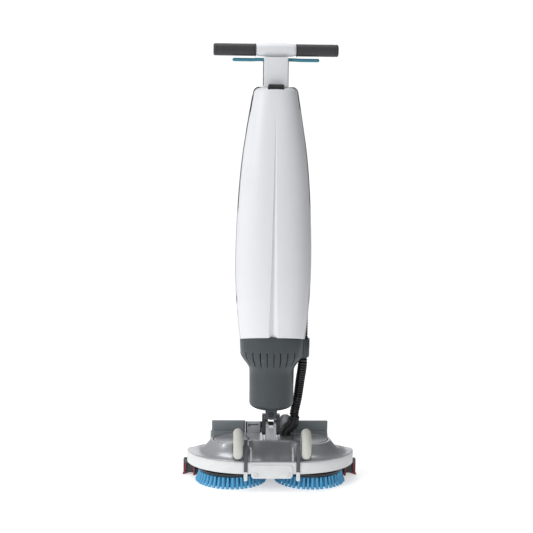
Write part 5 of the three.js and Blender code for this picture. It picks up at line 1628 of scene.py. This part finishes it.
# ---------------------------------------------------------------------------------------------
# Batteries and their bay
# ---------------------------------------------------------------------------------------------
@dataclass
class BatteryBay:
    """Two battery packs in a tray, with a wall between them that faces forward."""

    corner: float = 6.0 * MM
    seam_z: float = 0.118
    flat_front: float = 9.0 * MM
    fall: float = 22.0 * MM
    wall_top: float = 146.0 * MM
    wall_behind: float = 60.0 * MM
    backing_behind: float = 55.0 * MM
    backing_foot: float = 114.5 * MM
    backing_middle: float = 42.0 * MM
    backing_round: float = 16.0 * MM
    rear_half: float = 66.0 * MM
    rear_behind: tuple = (145.6 * MM, 148.6 * MM)
    rear_heights: tuple = (77 * MM, 123 * MM)

    def lid_slope(self, low: Vector, high: Vector) -> bpy.types.Object:
        """Build the wedge that is cut off the lid, so that its top falls away towards the back.

        Args:
            low: the pack's low corner.
            high: the pack's high corner.

        Returns:
            The cutting solid, which is used up by carving.
        """
        over, start = 2 * MM, low.y + self.flat_front
        outline = [(start, high.z), (high.y + over, high.z - self.fall), (high.y + over, high.z + over),
                   (start, high.z + over)]
        return slab("tool", outline, low.x - over, high.x + over, "X")

    def pack(self, side: str) -> None:
        """Build one pack: lid and case with a seam between, and a finger pocket."""
        low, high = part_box(f"battery_{side}")
        c = middle(f"battery_{side}")
        w, d = high.x - low.x, high.y - low.y
        pocket = ((c.x - 28 * MM, c.x + 28 * MM), (c.y - 12 * MM, c.y + 12 * MM),
                  (high.z - 14 * MM, high.z + MM))
        case = slab(f"battery_case_{side}", rounded_outline(w, d, self.corner, c.x, c.y), low.z,
                    self.seam_z - 0.8 * MM)
        bevelled(case, 1.5 * MM, 2)
        neck = slab("neck", rounded_outline(w - 2 * MM, d - 2 * MM, self.corner, c.x, c.y),
                    self.seam_z - 2 * MM, self.seam_z + 2 * MM)
        lid = slab("lid", rounded_outline(w, d, self.corner, c.x, c.y), self.seam_z, high.z)
        bevelled(lid, 2.2 * MM, 3)
        carved(lid, self.lid_slope(low, high))
        carved(lid, block("tool", *pocket))
        ribs = []
        for k in range(-3, 4):
            x = c.x + k * 11 * MM
            ribs.append(block("rib", (x - MM, x + MM), (low.y + 0.2 * MM, low.y + 1.4 * MM),
                              (low.z + 8 * MM, self.seam_z - 8 * MM)))
        carved(case, *ribs)
        place(joined(case, neck, lid), f"battery_{side}", BATTERY_PC, f"battery_{side}")

    def wall(self) -> None:
        """Build the tray: the floor and rims stay plain, and its wall gets a screw and a recessed bar."""
        dress("battery_tray", SILVER_ABS)
        top, wall_y = self.wall_top, AXIS.y + self.wall_behind
        bar = slab("wall_bar", rounded_outline(30 * MM, 3.2 * MM, 1.4 * MM, -46 * MM, top - 9 * MM),
                   wall_y - 1.0 * MM, wall_y - 0.05 * MM, "Y")
        place(bevelled(bar, 0.4 * MM, 2), "deck", POWDER_COAT)
        screw = turned("wall_screw", mm_pairs([(3.6, -0.1), (3.6, -1.6), (2.9, -2.1), (1.6, -2.1),
                                               (1.4, -0.8)]), Vector((-58 * MM, wall_y, top - 10 * MM)),
                       "Y", 28)
        place(screw, "deck", POWDER_COAT)
        for side, s in SIDES.items():
            # Black strips at the wall's ends: painted shadow in the gaps between the wall and the packs.
            gap_shadow_strip = slab(f"bay_gap_shadow_{side}",
                        rounded_outline(3.6 * MM, 44 * MM, 0.8 * MM, s * 65.6 * MM, top - 22.6 * MM),
                        wall_y - 0.9 * MM, wall_y - 0.05 * MM, "Y")
            place(gap_shadow_strip, "deck", BLACK_NYLON)
        # A black block behind the bay: painted shade that closes the view through to the back.
        rear = block("bay_rear_shadow_block", (-self.rear_half, self.rear_half),
                     tuple(AXIS.y + y for y in self.rear_behind), self.rear_heights)
        place(bevelled(rear, 0.8 * MM, 2), "deck", BLACK_NYLON)

    def backing(self) -> None:
        """Build the round-topped plate that stands behind the elbow."""
        y, x, r = AXIS.y + self.backing_behind, self.backing_middle, self.backing_round
        low, high = self.backing_foot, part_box("battery_tray")[1].z
        arch = [(x + r * math.cos(math.pi * k / 20), high - r + r * math.sin(math.pi * k / 20))
                for k in range(1, 20)]
        outline = [(x - r, low), (x + r, low), (x + r, high - r), *arch, (x - r, high - r)]
        plate = slab("elbow_backing", outline, y - 1.6 * MM, y - 0.1 * MM, "Y")
        place(bevelled(plate, 0.5 * MM, 2), "deck", SILVER_ABS)

    def build(self) -> None:
        """Build both packs and the bay."""
        for side in SIDES:
            self.pack(side)
        self.wall()
        self.backing()
        dress("suction_duct", SILVER_ABS)
        log.info("batteries: two packs, tray wall and backing")


# ---------------------------------------------------------------------------------------------
# Brushes
# ---------------------------------------------------------------------------------------------
@dataclass
class Brushes:
    """Two disc brushes whose tufts stand in rings and lean outwards to the floor."""

    tuft_radius: float = 3.3 * MM
    rows: list = field(default_factory=lambda: [(86.0, 94.2), (74.5, 77.5), (66.0, 68.0), (58.0, 59.0),
                                                (50.5, 51.0)])
    outer_pitch: float = 12.0 * MM
    inner_pitch: float = 8.6 * MM

    def tufts(self, side: str) -> None:
        """Build one brush's tufts in four rings, each tuft a little different, with split ends."""
        low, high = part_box(f"bristles_{side}")
        c = middle(f"bristles_{side}")
        points, faces = [], []
        rnd = random.Random(7 if side == "left" else 11)
        for row, (root, foot) in enumerate(self.rows):
            count = round(2 * math.pi * root * MM / (self.inner_pitch if row else self.outer_pitch))
            for k in range(count):
                turn = 2 * math.pi * (k + 0.5 * (row % 2)) / count + rnd.uniform(-0.012, 0.012)
                out, tang = Vector((math.cos(turn), math.sin(turn), 0)), Vector((-math.sin(turn),
                                                                                 math.cos(turn), 0))
                lean = rnd.uniform(-0.9, 0.9) * MM
                base = len(points)
                levels = [(0.0, 0.92), (0.3, 0.98), (0.6, 1.08), (0.85, 1.2), (1.0, 1.28)]
                for share, swell in levels:
                    r = root + (foot - root) * share ** 1.5
                    mid = c.xy.to_3d() + out * r * MM + tang * lean * share + Vector((0, 0,
                            high.z + (low.z - high.z) * share))
                    for j in range(10):
                        t = 2 * math.pi * j / 10
                        rough = 1 + (0.16 * (j % 2) * share)
                        ragged = rnd.uniform(0.0, 1.1) * MM if share == 1.0 else 0.0
                        points.append(mid
                                      + self.tuft_radius * swell * rough * (math.cos(t) * out * 0.82
                                                                            + math.sin(t) * tang)
                                      + Vector((0, 0, ragged)))
                for i in range(len(levels) - 1):
                    a, b = base + i * 10, base + (i + 1) * 10
                    faces += [(a + j, a + (j + 1) % 10, b + (j + 1) % 10, b + j) for j in range(10)]
                faces.append(tuple(base + j for j in range(10)))
                faces.append(tuple(base + 40 + j for j in range(10)))
        piece = new_piece(f"tufts_{side}", points, faces, 40)
        place(piece, f"brush_{side}", BRISTLE_PBT, f"bristles_{side}")

    def block(self, side: str) -> None:
        """Build one brush's block with a stepped rim, lightening ribs and the hub on top."""
        low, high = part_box(f"brush_block_{side}")
        c, r = middle(f"brush_block_{side}"), (high.x - low.x) / 2
        z = low.z
        profile = [(48 * MM, z), (r - 5 * MM, z), (r - 3 * MM, z + MM), (r - 0.4 * MM, z + 4.4 * MM),
                   (r, z + 5.4 * MM),
                   (r, z + 8.6 * MM), (r - 1 * MM, z + 9.6 * MM), (r - 8 * MM, z + 9.6 * MM),
                   (r - 10 * MM, z + 7 * MM),
                   (26 * MM, z + 7 * MM), (24 * MM, z + 9.6 * MM), (15.6 * MM, z + 9.6 * MM),
                   (15.6 * MM, high.z - MM),
                   (14.6 * MM, high.z), (4 * MM, high.z)]
        disc = turned(f"brush_disc_{side}", profile, Vector((c.x, c.y, 0)), "Z", 96)
        ribs = []
        for k in range(12):
            rib = block("rib", (25 * MM, r - 9 * MM), (-1.2 * MM, 1.2 * MM), (z + 6 * MM, z + 9.2 * MM))
            rib.data.transform(Matrix.Translation((c.x, c.y, 0)) @ Matrix.Rotation(math.pi * k / 6, 4, "Z"))
            ribs.append(rib)
        place(joined(disc, *ribs), f"brush_{side}", BLACK_NYLON, f"brush_block_{side}")

    def build(self) -> None:
        """Build both brushes."""
        for side in SIDES:
            self.tufts(side)
            self.block(side)
        log.info("brushes: two blocks with tufts")


# ---------------------------------------------------------------------------------------------
# Squeegee
# ---------------------------------------------------------------------------------------------
@dataclass
class Squeegee:
    """The curved squeegee behind the brushes: a body, two rubber blades and two clamp knobs."""

    radius: float = 238.0 * MM
    middle_y: float = 185.0 * MM
    half_x: float = 222.0 * MM
    spread: float = 26.0 * MM
    blade: float = 4.0 * MM
    body_half: float = 17.0 * MM

    def at(self, radius: float, turn: float, z: float) -> Vector:
        """Give a place on the arc."""
        cy = AXIS.y + self.middle_y - self.radius
        return Vector((radius * math.cos(turn), cy + radius * math.sin(turn), z))

    def sweep_arc(self, name: str, section: list[tuple[float, float]], lip: float = 0.0,
                  steps: int = 72) -> bpy.types.Object:
        """Carry a section of (distance out, height) along the arc.

        Args:
            name: the piece's name.
            section: closed outline.
            lip: how far the lowest points lean out at both ends.
            steps: stations on the arc.

        Returns:
            The object.
        """
        end = math.acos(self.half_x / self.radius)
        rings = []
        for i in range(steps + 1):
            share = i / steps
            turn = end + (math.pi - 2 * end) * share
            near = max(0.0, 1 - min(share, 1 - share) / 0.045)
            rings.append([self.at(self.radius + out + lip * near ** 1.6 * max(0.0, 1 - z / (16 * MM)),
                                  turn, z)
                          for out, z in section])
        return skin(name, rings, sharp_deg=40)

    def blades(self) -> None:
        """Build the front blade and the rear blade with its flared lip."""
        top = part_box("squeegee_blade_rear")[1].z
        for name, out, lip in (("front", -self.spread / 2, 0.0), ("rear", self.spread / 2, 7.5 * MM)):
            h = self.blade / 2
            section = [(out - h, 0.4 * MM), (out - h + 0.4 * MM, 0.0), (out + h - 0.4 * MM, 0.0),
                       (out + h, 0.4 * MM),
                       (out + h, 6 * MM), (out + h, 16 * MM), (out + h, top - 0.5 * MM),
                       (out + h - 0.5 * MM, top),
                       (out - h + 0.5 * MM, top), (out - h, top - 0.5 * MM), (out - h, 16 * MM),
                       (out - h, 6 * MM)]
            piece = self.sweep_arc(f"squeegee_rubber_{name}", section, lip)
            place(piece, "squeegee", GUM_RUBBER, f"squeegee_blade_{name}")

    def end_caps(self) -> None:
        """Build the red clamp over each end of the body, with two upright ribs."""
        end = math.acos(self.half_x / self.radius)
        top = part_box("squeegee_body")[1].z
        for side, s in SIDES.items():
            turn = end if s > 0 else math.pi - end
            parts = []
            for k, (a, b, lift) in enumerate(((0.010, 0.042, 0.0), (0.0, 0.010, -2.0),
                                              (0.048, 0.056, -3.0))):
                rings = []
                for step in (a, b):
                    inward = turn + s * step
                    r0, r1 = self.radius + self.body_half - 0.6 * MM, self.radius + self.body_half + 1.8 * MM
                    z0, z1 = 4 * MM, top + (lift - 0.6) * MM
                    rings.append([self.at(r, inward, z) for r,
                                  z in ((r0, z0), (r1, z0), (r1, z1), (r0, z1))])
                parts.append(bevelled(skin(f"cap_{k}", rings), 0.6 * MM, 2))
            place(joined(*parts), "squeegee", GUM_RUBBER).name = f"squeegee_end_strap_{side}"

    def end_plates(self) -> None:
        """Build the dark plate that closes each end of the body between the two blades."""
        end = math.acos(self.half_x / self.radius)
        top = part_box("squeegee_body")[1].z
        for side, s in SIDES.items():
            turn = end if s > 0 else math.pi - end
            rings = []
            for step in (0.012, 0.052):
                inner, outer = self.radius - self.body_half + MM, self.radius + self.body_half - 3 * MM
                ring = ((inner, 7 * MM), (outer, 7 * MM), (outer, top - 3 * MM), (inner, top - 3 * MM))
                rings.append([self.at(r, turn + s * step, z) for r, z in ring])
            plate = bevelled(skin(f"squeegee_end_plate_{side}", rings), 0.8 * MM, 2)
            place(plate, "squeegee", BLACK_NYLON)

    def body(self) -> None:
        """Build the body with a channel along its top and a port boss in the middle."""
        low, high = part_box("squeegee_body")
        b, z0, z1 = self.body_half, low.z, high.z
        section = [(-b, z0), (b, z0), (b, z1 - 3 * MM), (b - 2 * MM, z1 - MM), (b - 5 * MM, z1 - MM),
                   (b - 7 * MM, z1 - 4 * MM),
                   (-b + 7 * MM, z1 - 4 * MM), (-b + 5 * MM, z1 - MM), (-b + 2 * MM, z1 - MM),
                   (-b, z1 - 3 * MM)]
        rail = self.sweep_arc("squeegee_rail", section)
        centre = Vector((0, AXIS.y + self.middle_y, 0))
        boss = turned("boss", [(12.4 * MM, z0 + MM), (16.6 * MM, z0 + MM), (16.6 * MM, z1 - 0.6 * MM),
                               (15.8 * MM, z1), (12.4 * MM, z1),
                               (12.4 * MM, z0 + MM)], centre, "Z", 48)
        hole = turned("tool", [(12.2 * MM, z0 - MM), (12.2 * MM, z1 + MM)], centre, "Z", 48)
        carved(rail, hole)
        place(joined(rail, boss), "squeegee", HOUSING_NYLON, "squeegee_body")

    def knobs(self) -> None:
        """Build the two fluted clamp knobs."""
        for side in SIDES:
            low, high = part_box(f"squeegee_knob_{side}")
            c, r = middle(f"squeegee_knob_{side}"), (high.x - low.x) / 2
            outline = []
            for j in range(72):
                t = 2 * math.pi * j / 72
                wave = r - 1.7 * MM * (0.5 + 0.5 * math.cos(8 * t))
                outline.append((c.x + wave * math.cos(t), c.y + wave * math.sin(t)))
            knob = slab(f"squeegee_knob_cap_{side}", outline, low.z, high.z)
            place(bevelled(knob, 1.2 * MM, 3, 60), f"squeegee_knob_{side}", BLACK_NYLON,
                  f"squeegee_knob_{side}")

    def bellows(self) -> None:
        """Build the bellows over the squeegee's port."""
        low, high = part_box("squeegee_bellows")
        c, foot, tall = middle("squeegee_bellows"), low.z + 0.6 * MM, high.z - low.z - 1.2 * MM
        folds = [(15.0 * MM if k % 2 == 0 else 18.6 * MM, foot + tall * k / 10) for k in range(11)]
        profile = [*folds, (12.6 * MM, foot + tall), (12.6 * MM, foot), folds[0]]
        piece = place(turned("port_bellows", profile, Vector((c.x, c.y, 0)), "Z", 48), None, HOSE_EVA,
                      "squeegee_bellows")
        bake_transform(piece)

    def build(self) -> None:
        """Build the whole squeegee."""
        self.body()
        self.blades()
        self.end_caps()
        self.end_plates()
        self.knobs()
        self.bellows()
        log.info("squeegee: body, two blades, end straps and knobs")


def main() -> None:
    """Build the scrubber from the studio and the hose to the squeegee."""
    logging.basicConfig(level=logging.INFO, format="%(message)s")
    for part in (Studio(), SuctionHose(), Body(), MotorHousing(), Handle(), Deck(), ColumnJoint(),
                 BatteryBay(),
                 Brushes(), Squeegee()):
        part.build()
    for node in ("vacuum_motor", "solution_pump"):
        dress(node, BLACK_NYLON)


if __name__ == "__main__":
    main()
